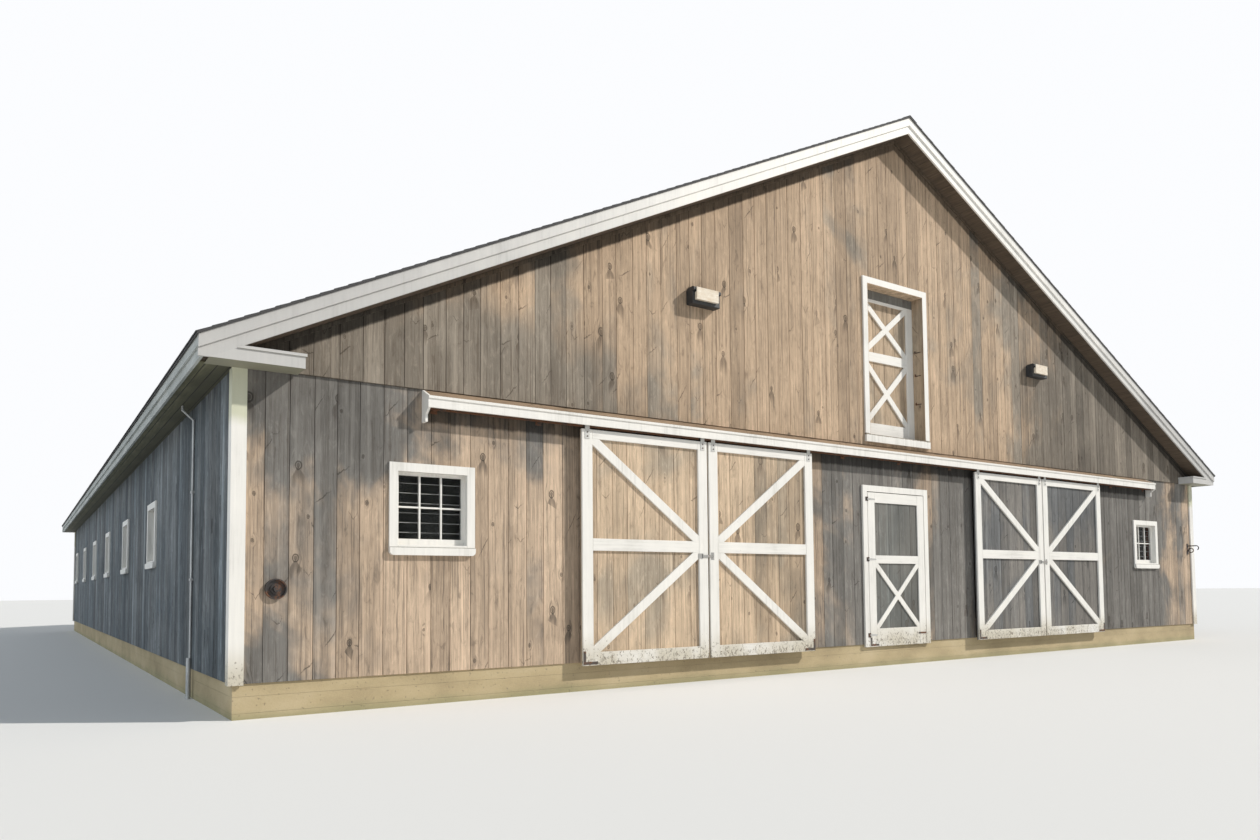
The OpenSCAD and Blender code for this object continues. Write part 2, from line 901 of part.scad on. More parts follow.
// Strap hinge half on the leaf, tapering from barrel to tip
module hinge_strap() {
  translate([hinge_x, hinge_y, -barrel_l / 2]) difference() {
    cylinder(r = barrel_r, h = barrel_l);
    translate([0, 0, -1]) cylinder(r = pin_r + pin_gap, h = barrel_l + 2);
  }
  translate([hinge_x, hinge_y + barrel_r - plate_t, 0]) rotate([-90, 0, 0]) linear_extrude(plate_t)
    polygon([
      [pin_r + pin_gap + 1.6, -12],
      [40, -16],
      [150, -9],
      [165, 0],
      [150, 9],
      [40, 16],
      [pin_r + pin_gap + 1.6, 12],
    ]);
}

// Plate half on the casing, with its two end barrels and the pin
module hinge_plate() {
  end_l = 16;
  play = 0.5;
  translate([hinge_x, hinge_y, 0]) {
    for (z = [-barrel_l / 2 - play - end_l, barrel_l / 2 + play])
      translate([0, 0, z]) cylinder(r = barrel_r, h = end_l);
    translate([0, 0, -barrel_l / 2 - end_l]) cylinder(r = pin_r, h = barrel_l + 2 * end_l);
    for (z = [-barrel_l / 2 - play - end_l, barrel_l / 2 + play])
      translate([-40, barrel_r - plate_t, z]) cube([40, plate_t, end_l]);
    translate([-42, barrel_r - plate_t, -barrel_l / 2 - play - end_l])
      cube([30, plate_t, barrel_l + 2 * (play + end_l)]);
  }
}

module person_casing() {
  outer_w = pdoor_w + 2 * pcasing_w;
  depth = pdoor_front;
  on_front() translate([pdoor_x, -depth, floor_z - pdoor_drop]) rotate([-90, 0, 0])
    linear_extrude(depth) mirror([0, 1]) difference() {
      translate([-outer_w / 2, 0]) square([outer_w, pdoor_h + pdoor_drop + pcasing_w]);
      translate([-pdoor_w / 2, -1]) square([pdoor_w, pdoor_h + pdoor_drop + 1]);
    }
}

module loft_casing() {
  outer_w = ldoor_w + 2 * lcasing_w;
  on_front() translate([ldoor_x, -gable_proud, ldoor_sill]) {
    translate([0, -trim_t, 0]) rotate([-90, 0, 0]) linear_extrude(trim_t) mirror([0, 1]) difference() {
      translate([-outer_w / 2, 0]) square([outer_w, ldoor_h + lcasing_w]);
      translate([-ldoor_w / 2, -1]) square([ldoor_w, ldoor_h + 1]);
    }
    translate([-outer_w / 2, -lsill_out, -lsill_h]) cube([outer_w, lsill_out, lsill_h]);
  }
}

module door_casings() {
  color(white) {
    person_casing();
    loft_casing();
  }
}

module person_door_boards() {
  color(grey_board)
    on_front() plate(pdoor_x - pdoor_w / 2 + pdoor_gap, pdoor_x + pdoor_w / 2 - pdoor_gap,
                     floor_z - pdoor_drop, floor_z + pdoor_h - pdoor_gap,
                     pframe_t - pdoor_front, pframe_t - pdoor_front + pboard_t);
}

module person_door_frame() {
  w = pdoor_w - 2 * pdoor_gap;
  h = pdoor_h + pdoor_drop - pdoor_gap;
  mid_low = pmid_z + pdoor_drop - pmid_rail / 2;
  inner_w = w - 2 * pstile_w;
  color(white) {
    on_front() translate([pdoor_x - w / 2, -pdoor_front + pframe_t, floor_z - pdoor_drop])
      rotate([90, 0, 0]) linear_extrude(pframe_t) {
        difference() {
          square([w, h]);
          translate([pstile_w, pfoot_rail]) square([inner_w, mid_low - pfoot_rail]);
          translate([pstile_w, mid_low + pmid_rail])
            square([inner_w, h - pstile_w - mid_low - pmid_rail]);
        }
        intersection() {
          translate([pstile_w / 2, pfoot_rail / 2]) square([w - pstile_w, mid_low]);
          union() {
            brace(pstile_w, pfoot_rail, w - pstile_w, mid_low, pbrace_w);
            brace(w - pstile_w, pfoot_rail, pstile_w, mid_low, pbrace_w);
          }
        }
      }
    for (z = hinge_heights()) translate([0, 0, floor_z + z]) hinge_strap();
  }
}

// Boarded leaf on the inner face of the gable wall, with two braced panels and a fixed header
module loft_door() {
  lap = 60;
  w = ldoor_w + 2 * lap;
  h = ldoor_h + lap;
  stile = lstile_w + lap;
  foot = lfoot_rail;
  mid_low = lmid_rise - lmid_rail / 2;
  mid_high = mid_low + lmid_rail;
  head = ldoor_h - header_h - ltop_rail;
  color(grey_board) on_front() translate([ldoor_x - w / 2, wall_t, ldoor_sill]) {
    translate([0, trim_t, 0]) cube([w, trim_t + 5, h]);
    translate([0, trim_t, 0]) rotate([90, 0, 0]) linear_extrude(trim_t) {
      difference() {
        square([w, h]);
        translate([stile, foot]) square([w - 2 * stile, mid_low - foot]);
        translate([stile, mid_high]) square([w - 2 * stile, head - mid_high]);
      }
      intersection() {
        translate([stile / 2, foot / 2]) square([w - stile, head]);
        union() for (low_high = [[foot, mid_low], [mid_high, head]]) {
          brace(stile, low_high[0], w - stile, low_high[1], lbrace_w);
          brace(w - stile, low_high[0], stile, low_high[1], lbrace_w);
        }
      }
    }
  }
}

// Fittings

// Box light whose upright glass front stands back under a deep visor
module wall_light() {
  top = light_h / 2;
  nose = light_d + visor_out;
  along_x(light_w) polygon([
    [0, top - 22],
    [-30, top - 5],
    [-nose + 22, top],
    [-nose, top - 16],
    [-nose, top - visor_h + 12],
    [-nose + 10, top - visor_h],
    [-light_d, top - visor_h],
    [-light_d, -top + 8],
    [-light_d + 8, -top],
    [-12, -top],
    [0, -top + 14],
  ]);
}

module wall_lights() {
  spots = [
    [pair_1_x + light_1_off, light_z - light_1_drop],
    [pair_2_x + light_2_off, light_z],
  ];
  color("dimgray")
    on_front() for (spot = spots)
      translate([spot[0] - light_w / 2, -gable_proud, floor_z + spot[1]]) wall_light();
}

module iron_fittings() {
  color(iron) for (z = hinge_heights()) translate([0, 0, floor_z + z]) hinge_plate();
  color(iron) on_front() {
    // round flange with a raised rim and a hub
    translate([-barn_w / 2 + flange_x, 0, floor_z + flange_z]) rotate([90, 0, 0]) {
      cylinder(r = flange_r - 6, h = 10);
      rotate_extrude() translate([flange_r - 12, 0]) square([12, 34]);
      cylinder(r = flange_r * 0.52, h = 24);
      cylinder(r = flange_r * 0.32, h = 58, $fn = 6);
    }
    // long armed hook with a ring, on a plate beside the corner board
    translate([barn_w / 2 - hook_x, 0, floor_z + hook_z]) {
      translate([-30, -8, -110]) cube([60, 8, 220]);
      translate([0, 0, 62]) rotate([90, 0, 0]) cylinder(r = 11, h = hook_arm);
      translate([0, -hook_arm, 62 - hook_r]) rotate([90, 0, -90]) rotate(-60)
        rotate_extrude(angle = 158) translate([hook_r, 0]) circle(9);
      translate([0, -70, -30]) rotate([0, 90, 0]) rotate_extrude() translate([44, 0]) circle(9);
      translate([0, 0, -30]) rotate([90, 0, 0]) cylinder(r = 8, h = 28);
    }
  }
}

// Wiring pipe up the left wall, set off to the soffit by two elbows. It stands in a sleeve and is
// held by two saddles.
module conduit() {
  off = conduit_r + strap_gap;
  elbow_r = off - seat_gap;
  set_off = 110;
  top_z = soffit_z - 150;
  elbow_z = top_z + 100;
  sleeve_top = plinth_h + 120;
  coupling_z = top_z - 60;
  saddle_out = off + conduit_r + 3;
  color("silver") translate([-barn_w / 2, conduit_y - barn_l / 2, 0]) {
    translate([-sleeve_r - strap_gap, 0, 0]) cylinder(r = sleeve_r, h = sleeve_top);
    translate([-off, 0, sleeve_top + seat_gap])
      cylinder(r = conduit_r, h = coupling_z - sleeve_top - 2 * seat_gap);
    translate([-off, 0, coupling_z]) cylinder(r = conduit_r, h = top_z - coupling_z);
    translate([-off, 0, top_z]) rotate([0, -atan(set_off / (elbow_z - top_z)), 0])
      cylinder(r = conduit_r, h = norm([set_off, elbow_z - top_z]));
    translate([-off, 0, top_z]) sphere(elbow_r);
    translate([-off - set_off, 0, elbow_z]) {
      sphere(elbow_r);
      cylinder(r = conduit_r, h = soffit_z - elbow_z);
    }
    for (z = [floor_z + wall_h / 3, floor_z + 2 * wall_h / 3])
      difference() {
        translate([-saddle_out, -40, z]) cube([saddle_out, 80, 24]);
        translate([-off, 0, z - 1]) cylinder(r = conduit_r + seat_gap, h = 26);
      }
  }
}

// Each piece on its own or all together

foundation();
floor_slab();
front_wall_left();
front_wall_mid_left();
front_wall_mid_right();
front_wall_right();
front_wall_over_doors();
front_wall_over_person_door();
front_gable();
back_wall();
back_gable();
left_wall();
right_wall();
loft_floor();
roof_left();
roof_right();
rake_boards_front();
rake_boards_back();
left_eave();
right_eave();
cornice_returns();
corner_boards();
window_frames();
front_glass();
back_glass();
left_glass();
right_glass();
door_hood();
hood_trim();
door_track();
door_casings();
loft_door();
wall_lights();
iron_fittings();
conduit();
door_1_left_boards();
door_1_left_frame();
door_1_right_boards();
door_1_right_frame();
door_2_left_boards();
door_2_left_frame();
door_2_right_boards();
door_2_right_frame();
person_door_boards();
person_door_frame();
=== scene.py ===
import math
import random

import bpy
from mathutils import Matrix, Vector


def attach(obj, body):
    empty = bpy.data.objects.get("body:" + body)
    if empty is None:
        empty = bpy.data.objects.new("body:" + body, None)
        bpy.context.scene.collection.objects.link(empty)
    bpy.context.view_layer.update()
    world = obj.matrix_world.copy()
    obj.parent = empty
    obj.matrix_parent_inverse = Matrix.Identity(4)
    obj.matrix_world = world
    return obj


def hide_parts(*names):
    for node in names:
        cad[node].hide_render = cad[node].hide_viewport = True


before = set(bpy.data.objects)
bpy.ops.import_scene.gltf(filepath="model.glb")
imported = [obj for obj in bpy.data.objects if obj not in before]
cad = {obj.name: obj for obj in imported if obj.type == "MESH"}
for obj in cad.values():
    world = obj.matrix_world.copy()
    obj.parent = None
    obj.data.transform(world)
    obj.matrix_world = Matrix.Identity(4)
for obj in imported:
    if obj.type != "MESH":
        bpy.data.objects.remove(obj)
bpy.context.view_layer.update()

# The viewpoint: eye height, off the near corner of the barn, looking along the door gable. The floor
# is pale and plain. The main lamp stands up to the right of the doors, warm and fairly crisp, and a
# broad cool lamp reaches the long side.
eye, turn, lift, tilt = Vector((-10.731, -21.520, 1.127)), 0.6146, 0.0520, -0.0099
level = Vector((math.sin(turn), math.cos(turn), 0))
aside = Vector((math.cos(turn), -math.sin(turn), 0))
up = Vector((0, 0, 1))
ahead = level * math.cos(lift) + up * math.sin(lift)
rise = up * math.cos(lift) - level * math.sin(lift)
rightward = aside * math.cos(tilt) + rise * math.sin(tilt)
upward = rise * math.cos(tilt) - aside * math.sin(tilt)
bpy.ops.object.select_all(action="DESELECT")
bpy.ops.object.camera_add()
camera = bpy.context.object
camera.matrix_world = Matrix.Translation(eye) @ Matrix((rightward, upward, -ahead)).transposed().to_4x4()
camera.data.sensor_width = 36
camera.data.lens = 25.72
camera.data.shift_x = -0.0154
camera.data.shift_y = 0.0975
camera.data.clip_end = 600
bpy.context.scene.camera = camera
bpy.context.scene.view_settings.view_transform = "Standard"

bpy.ops.mesh.primitive_plane_add(size=500)
floor = bpy.context.object
floor.name = "floor"
pale = bpy.data.materials.new("pale_floor")
pale.use_nodes = True
matt = pale.node_tree.nodes["Principled BSDF"].inputs
matt["Base Color"].default_value = (0.80, 0.79, 0.77, 1)
matt["Roughness"].default_value = 0.9
floor.data.materials.append(pale)

for reach, energy, angle, tint in (((0.74, -0.55, 0.66), 3.30, 0.03, (1.0, 0.97, 0.92)),
                                   ((-0.88, -0.22, 0.42), 0.90, 1.30, (0.72, 0.86, 1.0))):
    bpy.ops.object.light_add(type="SUN")
    lamp = bpy.context.object
    lamp.rotation_euler = Vector(reach).to_track_quat("Z", "Y").to_euler()
    lamp.data.energy, lamp.data.angle, lamp.data.color = energy, angle, tint

sky = bpy.data.worlds.new("soft_sky")
sky.use_nodes = True
bpy.context.scene.world = sky
links, made = sky.node_tree.links, sky.node_tree.nodes
seen_sky, soft_sky = made["Background"], made.new("ShaderNodeBackground")
seen_sky.inputs["Color"].default_value = (0.97, 0.98, 1.0, 1)
soft_sky.inputs["Color"].default_value = (0.86, 0.93, 1.0, 1)
soft_sky.inputs["Strength"].default_value = 0.29
path = made.new("ShaderNodeLightPath")
seen = path.outputs["Is Camera Ray"]
for ray in ("Is Transmission Ray", "Is Glossy Ray"):
    either = made.new("ShaderNodeMath")
    either.operation = "MAXIMUM"
    links.new(seen, either.inputs[0])
    links.new(path.outputs[ray], either.inputs[1])
    seen = either.outputs[0]
both_skies = made.new("ShaderNodeMixShader")
for number, source in enumerate((seen, soft_sky.outputs[0], seen_sky.outputs[0])):
    links.new(source, both_skies.inputs[number])
links.new(both_skies.outputs[0], made["World Output"].inputs["Surface"])

# Concrete plinth and floor slab: cast in board forms, sand coloured, pitted, with faint form lines
# and a damp green stain along its foot. The walls stand on it.


class Term:
    """One socket of a finish. Sums written with it add Math nodes."""

    def __init__(self, finish, socket):
        self.finish, self.socket = finish, socket

    def other(self, name):
        """Another socket of the same node."""
        return Term(self.finish, self.socket.node.outputs[name])

    def maths(self, operation, *others):
        return self.finish.node("ShaderNodeMath", {"operation": operation}, (self, *others))

    def __add__(self, other):
        return self.maths("ADD", other)

    def __sub__(self, other):
        return self.maths("SUBTRACT", other)

    def __rsub__(self, other):
        return self.finish.node("ShaderNodeMath", {"operation": "SUBTRACT"}, (other, self))

    def __mul__(self, other):
        return self.maths("MULTIPLY", other)

    def __truediv__(self, other):
        return self.maths("DIVIDE", other)

    def __mod__(self, other):
        return self.maths("MODULO", other)

    def __abs__(self):
        return self.maths("ABSOLUTE")

    __radd__, __rmul__ = __add__, __mul__

    def step(self, low, high):
        """0 up to low and 1 from high on, with a soft slope between."""
        return self.finish.node("ShaderNodeMapRange", {"interpolation_type": "SMOOTHSTEP"},
                                (self, low, high, 0.0, 1.0))

    def shades(self, *stops):
        return self.finish.node("ShaderNodeValToRGB", {"stops": stops}, (self,))

    def axis(self, name):
        return self.finish.node("ShaderNodeSeparateXYZ", (), (self,), out=name)

    def scaled(self, by):
        return self.finish.node("ShaderNodeVectorMath", {"operation": "MULTIPLY"}, (self, by))


class Finish:
    """A surface finish, built up in nodes round one Principled shader."""

    def __init__(self, name):
        self.material = bpy.data.materials.new(name)
        self.material.use_nodes = True
        self.tree = self.material.node_tree
        self.shader = self.tree.nodes["Principled BSDF"]
        self.at = self.node("ShaderNodeTexCoord", out="Object")

    def node(self, kind, settings=(), sockets=(), out=0):
        """Adds a node: settings first, then the value or the link of each socket."""
        made = self.tree.nodes.new(kind)
        for name, value in dict(settings).items():
            if name == "stops":
                ramp = made.color_ramp.elements
                while len(ramp) < len(value):
                    ramp.new(0.5)
                for stop, (spot, shade) in zip(ramp, value):
                    stop.position, stop.color = spot, (*shade, 1)
            else:
                setattr(made, name, value)
        given = sockets.items() if isinstance(sockets, dict) else enumerate(sockets)
        for name, value in given:
            if isinstance(value, Term):
                self.tree.links.new(value.socket, made.inputs[name])
            else:
                made.inputs[name].default_value = value
        return Term(self, made.outputs[out])

    def vector(self, *parts):
        return self.node("ShaderNodeCombineXYZ", (), parts)

    def noise(self, at, detail=5.0, rough=0.6, twist=0.0):
        """Noise at a vector, or at the place on the barn times three numbers."""
        at = at if isinstance(at, Term) else self.at.scaled(at)
        return self.node("ShaderNodeTexNoise", (), {"Vector": at, "Scale": 1.0, "Detail": detail,
                                                    "Roughness": rough, "Distortion": twist})

    def mixed(self, share, a, b):
        a = a if isinstance(a, Term) else (*a, 1)
        b = b if isinstance(b, Term) else (*b, 1)
        return self.node("ShaderNodeMix", {"data_type": "RGBA"}, {0: share, 6: a, 7: b}, out=2)

    def relief(self, height, depth, strength=1.0):
        return self.node("ShaderNodeBump", (), {"Strength": strength, "Distance": depth, "Height": height})

    def give(self, **channels):
        for name, value in channels.items():
            socket = self.shader.inputs[name.replace("_", " ")]
            if isinstance(value, Term):
                self.tree.links.new(value.socket, socket)
            else:
                socket.default_value = value
        return self.material


def dressed(finish, *pieces):
    for piece in pieces:
        piece.data.materials.clear()
        piece.data.materials.append(finish)


mix = Finish("cast_concrete")
sand = mix.noise((90, 90, 90), 6, 0.7)
cloud = mix.noise((1.1, 1.1, 2.2), 4, 0.55)
pits = mix.noise((38, 38, 38), 2, 0.5).step(0.66, 0.74)
form_line = (mix.at.axis("Z") + 0.02).maths("PINGPONG", 0.075).step(0.0735, 0.075)
damp_and_painted_shade = (mix.at.axis("Z") + cloud * 0.16).step(0.20, 0.07)
tone = (cloud * 0.7 + sand * 0.3).shades(
    (0.30, (0.32, 0.25, 0.145)), (0.52, (0.47, 0.375, 0.22)), (0.75, (0.58, 0.48, 0.31)))
tone = mix.mixed(damp_and_painted_shade * 0.55, tone, (0.24, 0.25, 0.13))
tone = mix.mixed(pits * 0.5 + form_line * 0.35, tone, (0.20, 0.17, 0.13))
concrete = mix.give(Base_Color=tone, Roughness=0.78 + sand * 0.2,
                    Normal=mix.relief(sand * 0.25 - pits - form_line * 0.8, 0.004))
dressed(concrete, cad["foundation"], cad["floor_slab"])

# Walls: rough sawn boards about 185 to 250 mm wide and 22 mm thick, nailed upright on the frame side
# by side and left to weather, brown, with patches of painted shade on the door gable and the front and
# the long left side painted darker and bluer as shade. They stop round each doorway and window, and
# the frame behind them is boarded inside.


def put_down():
    """Nothing is picked and no mesh is open."""
    if bpy.context.object and bpy.context.object.mode != "OBJECT":
        bpy.ops.object.mode_set(mode="OBJECT")
    bpy.ops.object.select_all(action="DESELECT")


def picked(*pieces):
    put_down()
    for piece in pieces:
        piece.select_set(True)
    bpy.context.view_layer.objects.active = pieces[0]
    return pieces[0]


def shaped(piece, tool, **settings):
    """One edit mode tool on the whole of a piece."""
    picked(piece)
    bpy.ops.object.mode_set(mode="EDIT")
    bpy.ops.mesh.select_all(action="SELECT")
    tool(**settings)
    bpy.ops.object.mode_set(mode="OBJECT")
    return piece


def block(name, low, high):
    """A square block between two corners."""
    put_down()
    low, high = Vector(low), Vector(high)
    bpy.ops.mesh.primitive_cube_add(size=1, location=(low + high) / 2, scale=high - low)
    bpy.ops.object.transform_apply()
    bpy.context.object.name = name
    return bpy.context.object


def sawn(name, low, high, arris=0.002):
    """A square edged board between two corners, with its arrises taken off."""
    return shaped(block(name, low, high), bpy.ops.mesh.bevel, offset=arris, segments=1, affect="EDGES")


def sliced(piece, spot, outward):
    """Cuts the piece off flat, square to outward, and closes the cut."""
    return shaped(piece, bpy.ops.mesh.bisect, plane_co=spot, plane_no=outward, use_fill=True,
                  clear_outer=True, threshold=0.00001)


def another(piece, place=Matrix()):
    """A copy with its own mesh, taken to its place."""
    twin = piece.copy()
    twin.data = piece.data.copy()
    bpy.context.collection.objects.link(twin)
    twin.data.transform(place)
    return twin


def fixed_up(name, pieces):
    """Pieces made one, with that name."""
    whole = picked(*pieces)
    if len(pieces) > 1:
        bpy.ops.object.join()
    whole.name = whole.data.name = name
    return whole


def taken_from(name, *nodes):
    """A merged copy of CAD meshes."""
    whole = fixed_up(name, [another(cad[node]) for node in nodes])
    return shaped(whole, bpy.ops.mesh.remove_doubles, threshold=0.0002)


def mirrored(piece):
    """Left for right, with its faces still outward."""
    piece.data.transform(Matrix.Scale(-1, 4, (1, 0, 0)))
    piece.data.flip_normals()
    return piece


def cut_through(piece, *holes):
    """Takes each block, given by two corners, out of the piece."""
    knife = fixed_up("knife", [block("knife", low, high) for low, high in holes])
    picked(piece)
    cut = piece.modifiers.new("cut", "BOOLEAN")
    cut.operation, cut.solver, cut.object = "DIFFERENCE", "EXACT", knife
    bpy.ops.object.modifier_apply(modifier=cut.name)
    bpy.data.objects.remove(knife)
    return piece


def stood(piece, out, turn=0.0):
    """Takes a wall made at y = 0 out to its face, and turns it about the middle of the barn."""
    piece.data.transform(Matrix.Rotation(turn, 4, "Z") @ Matrix.Translation((0, -out, 0)))


def marked(board, chance):
    """Three numbers that tell this board from its neighbours, for the grain and the tone."""
    mark = board.data.attributes.new("board", "FLOAT_VECTOR", "FACE")
    mark.data.foreach_set("vector", [chance.random() for _ in range(3)] * len(board.data.polygons))
    return board


def board_edges(start, stop, chance, known=()):
    """Where boards of mixed widths meet, the known joints first."""
    edges = [start, *known]
    while stop - edges[-1] > 0.42:
        edges.append(edges[-1] + chance.uniform(0.186, 0.248))
    return [*edges, (edges[-1] + stop) / 2, stop]


def boarding(name, edges, foot, head, chance, slack=0.0045, thick=0.022, sway=0.003):
    """Upright boards on a face at y = 0 that looks to -Y. The head is a height, or a rule for it."""
    boards = []
    pattern = sawn(name, (-0.1, 0, -1), (0.1, thick, 1))
    for left, right in zip(edges, edges[1:]):
        middle = (left + right) / 2
        high = head(middle) if callable(head) else head
        board = another(pattern)
        spread, reach = (right - left - slack) / 2 - 0.1, (high - foot) / 2 - 1
        back = chance.uniform(0, sway)
        for corner in board.data.vertices:
            corner.co.x += (spread if corner.co.x > 0 else -spread) + middle
            corner.co.z += (reach if corner.co.z > 0 else -reach) + (high + foot) / 2
            corner.co.y += back
        boards.append(marked(board, chance))
    bpy.data.objects.remove(pattern)
    return fixed_up(name, boards)


def fitted(piece, finish, body="barn"):
    """Gives a piece its finish and its body."""
    dressed(finish, piece)
    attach(piece, body)


def clad(siding, finish, core, nodes, axis, face):
    """Siding in place of CAD walls, and behind it a copy of them, its outer face let back."""
    let_back = math.copysign(0.026, face)
    behind = taken_from(core, *nodes)
    for corner in behind.data.vertices:
        if abs(corner.co[axis] - face) < 0.001:
            corner.co[axis] -= let_back
    fitted(siding, finish)
    fitted(behind, inner_boards)
    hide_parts(*nodes)


def old_boards(name, warm, cool, dark, lean, level=False, knotty=0.4, bleach=1.32, greying_and_painted_shade=(), broad=1.0,
               odd=0.34, damp_and_painted_shade=None):
    """Weathered wood, grain upright or level. Lean is how far it has turned from warm to cool, and the
    patches of greying and painted shade add to it along the wall, each from one X to another by an
    amount, and where two heights follow, only from one of them to the other; one with less than
    nothing is a painted pool of light, paler and warmer. Broad makes the grain finer or coarser, and
    odd is how much the boards differ. The band under a roof is painted shade that darkens the wood:
    its height over the middle, its slope, how far down and how far out from the middle."""
    wood = Finish(name)
    if level:
        wood.at = wood.vector(*[wood.at.axis(way) for way in "ZYX"])
    board = wood.node("ShaderNodeAttribute", {"attribute_name": "board"}, (), out="Vector")
    own = wood.node("ShaderNodeVectorMath", {"operation": "ADD"}, (wood.at, board.scaled((31, 23, 17))))
    across, along = own.axis("X") + own.axis("Y"), own.axis("Z")
    wide, long = 4.6, 2.3
    face = wood.vector(across * wide, along * long, 0.0)
    knot = wood.node("ShaderNodeTexVoronoi", {"voronoi_dimensions": "2D", "feature": "F1"},
                     {"Vector": face, "Scale": 1.0, "Randomness": 1.0})
    middle, luck = knot.other("Position"), knot.other("Color")
    beside = (face.axis("X") - middle.axis("X")) / wide
    above = (face.axis("Y") - middle.axis("Y")) / long
    either_side = abs(beside)
    luck_1, luck_2, luck_3 = (luck.axis(way) for way in "XYZ")
    fine = wood.noise(own.scaled((260, 260, 3)), 3, 0.6, 0.1)
    mottle = wood.noise(own.scaled((17, 17, 5)), 5, 0.68, 0.9)
    away = wood.node("ShaderNodeVectorMath", {"operation": "LENGTH"},
                     (wood.vector(beside, above * 0.72, 0.0),), out="Value")
    away = away + (mottle - 0.5) * 0.022
    size = 0.008 + luck_1 * luck_1 * 0.016
    knotted = 1 - luck_2.step(knotty * 0.5, knotty * 0.5 + 0.04)
    near = (1 - away.step(size, size * 5 + 0.02)) * (0.3 + knotted * 0.7)
    spread = across - beside * near * 0.8
    grain = wood.noise(wood.vector(spread * 44 * broad, along * 0.6, luck_3 * near), 7, 0.66, 0.15)
    patch = wood.noise((0.55, 0.55, 0.42), 5, 0.62, 0.8)
    # Soft patches a metre or so across, some darker and cooler, some paler and warmer: tone that differs at
    # random together with painted dappled shade.
    dappled_tone_and_shade = wood.noise((1.5, 1.5, 1.1), 3, 0.5, 0.6)
    streak = wood.noise(own.scaled((15 * broad, 15 * broad, 0.28)), 5, 0.6, 0.15)
    heart = (1 - away.step(size * 0.7, size * 1.2)) * knotted
    ring = away.step(size * 1.9, size * 1.45) * away.step(size * 1.0, size * 1.3) * knotted
    flame = above + (either_side * 1.6 + (mottle - 0.5) * 0.05)
    flame = flame.step(0.0, -0.02) * flame.step(-0.16 - luck_3 * 0.12, -0.04) * either_side.step(0.075, 0.03)
    flame = flame * knotted * luck_1.step(0.45, 0.55)
    one_sided = luck_3.step(0.45, 0.46)
    out_from = either_side * (1 - one_sided) + beside * one_sided
    tip = above - out_from * (0.5 + luck_1 * 1.5) + (mottle - 0.5) * 0.09
    thick = either_side.step(0.13, 0.0) * (0.005 + luck_3 * 0.010)
    spike = 1 - abs(tip).step(thick * 0.3, thick + 0.0005)
    spike = spike * (1 - either_side.step(0.02, 0.05 + luck_3 * 0.11))
    spike = spike * luck_2.step(0.97 - knotty * 0.6, 1.0 - knotty * 0.6)
    turned = patch + (dappled_tone_and_shade - 0.5) * 0.35 + (board.axis("X") - 0.5) * 0.20 + lean
    greyed_and_shaded = 0.0
    for first, last, amount, *heights in greying_and_painted_shade:
        part = wood.at.axis("X").step(first, last)
        if heights:
            part = part * (wood.at.axis("Z") + (patch - 0.5) * 1.6).step(*heights)
        turned, greyed_and_shaded = turned + part * amount, greyed_and_shaded + part * min(amount, 0.2)
    cooler = turned.step(0.42, 0.66)
    ground = wood.mixed(cooler, warm, cool)
    light = wood.mixed(cooler, tuple(min(part * bleach, 0.9) for part in warm),
                       tuple(min(part * bleach * 1.2, 0.9) for part in cool))
    for share, shade in ((mottle.step(0.50, 0.68) * 0.58, light), (mottle.step(0.46, 0.30) * 0.42, dark),
                         (grain.step(0.52, 0.32) * 0.62, dark), (grain.step(0.56, 0.70) * 0.50, light),
                         (fine.step(0.55, 0.30) * 0.42, dark), (streak.step(0.52, 0.70) * 0.55, light)):
        ground = wood.mixed(share, ground, shade)
    ground = wood.mixed(streak.step(0.47, 0.32) * 0.55, ground, wood.mixed(0.5, ground, dark))
    for share, deep in ((flame * 0.62, 0.9), (spike * 0.66, 0.62), (ring * 0.78, 0.55), (heart * 0.68, 0.80)):
        ground = wood.mixed(share, ground, tuple(part * deep for part in dark))
    value = 0.92 + (board.axis("Y") - 0.5) * odd + (patch - 0.5) * 0.35 + (0.5 - dappled_tone_and_shade) * 0.50 - greyed_and_shaded * 0.5
    # A dark band under a roof edge, the rakes on the gable and the hood on the front: painted shadow.
    if damp_and_painted_shade:
        head, fall, deep, out_to = damp_and_painted_shade
        out_from = abs(wood.at.axis("X"))
        below = head - out_from * fall - wood.at.axis("Z") + (streak - 0.5) * 0.05
        value = value * (1 - below.step(deep, deep - 0.04) * out_from.step(out_to, out_to - 0.04) * 0.72)
    ground = wood.node("ShaderNodeVectorMath", {"operation": "SCALE"}, {0: ground, "Scale": value})
    height = grain * 0.8 + fine * 0.35 - heart * 0.4 - ring * 0.4 - spike * 0.2
    return wood.give(Base_Color=ground, Roughness=0.70 + grain * 0.25, Specular_IOR_Level=0.25,
                     Normal=wood.relief(height, 0.0035, 0.9))


def close_boards(name, grain_at, half, dull, dark, light, gap, upright):
    """Bare boards edge to edge, each two halves wide, upright round the barn or flat along it."""
    wood = Finish(name)
    grain = wood.noise(grain_at, 5, 0.6, 0.3)
    run = wood.at.axis("X") + wood.at.axis("Y") if upright else wood.at.axis("X")
    joint = run.maths("PINGPONG", half).step(0.004, 0.0)
    tone = wood.mixed(joint * 0.8, grain.shades((0.3, dark), (0.7, light)), gap)
    return wood.give(Base_Color=tone, Roughness=dull + grain * 0.2,
                     Normal=wood.relief(grain - joint * 2, 0.002))


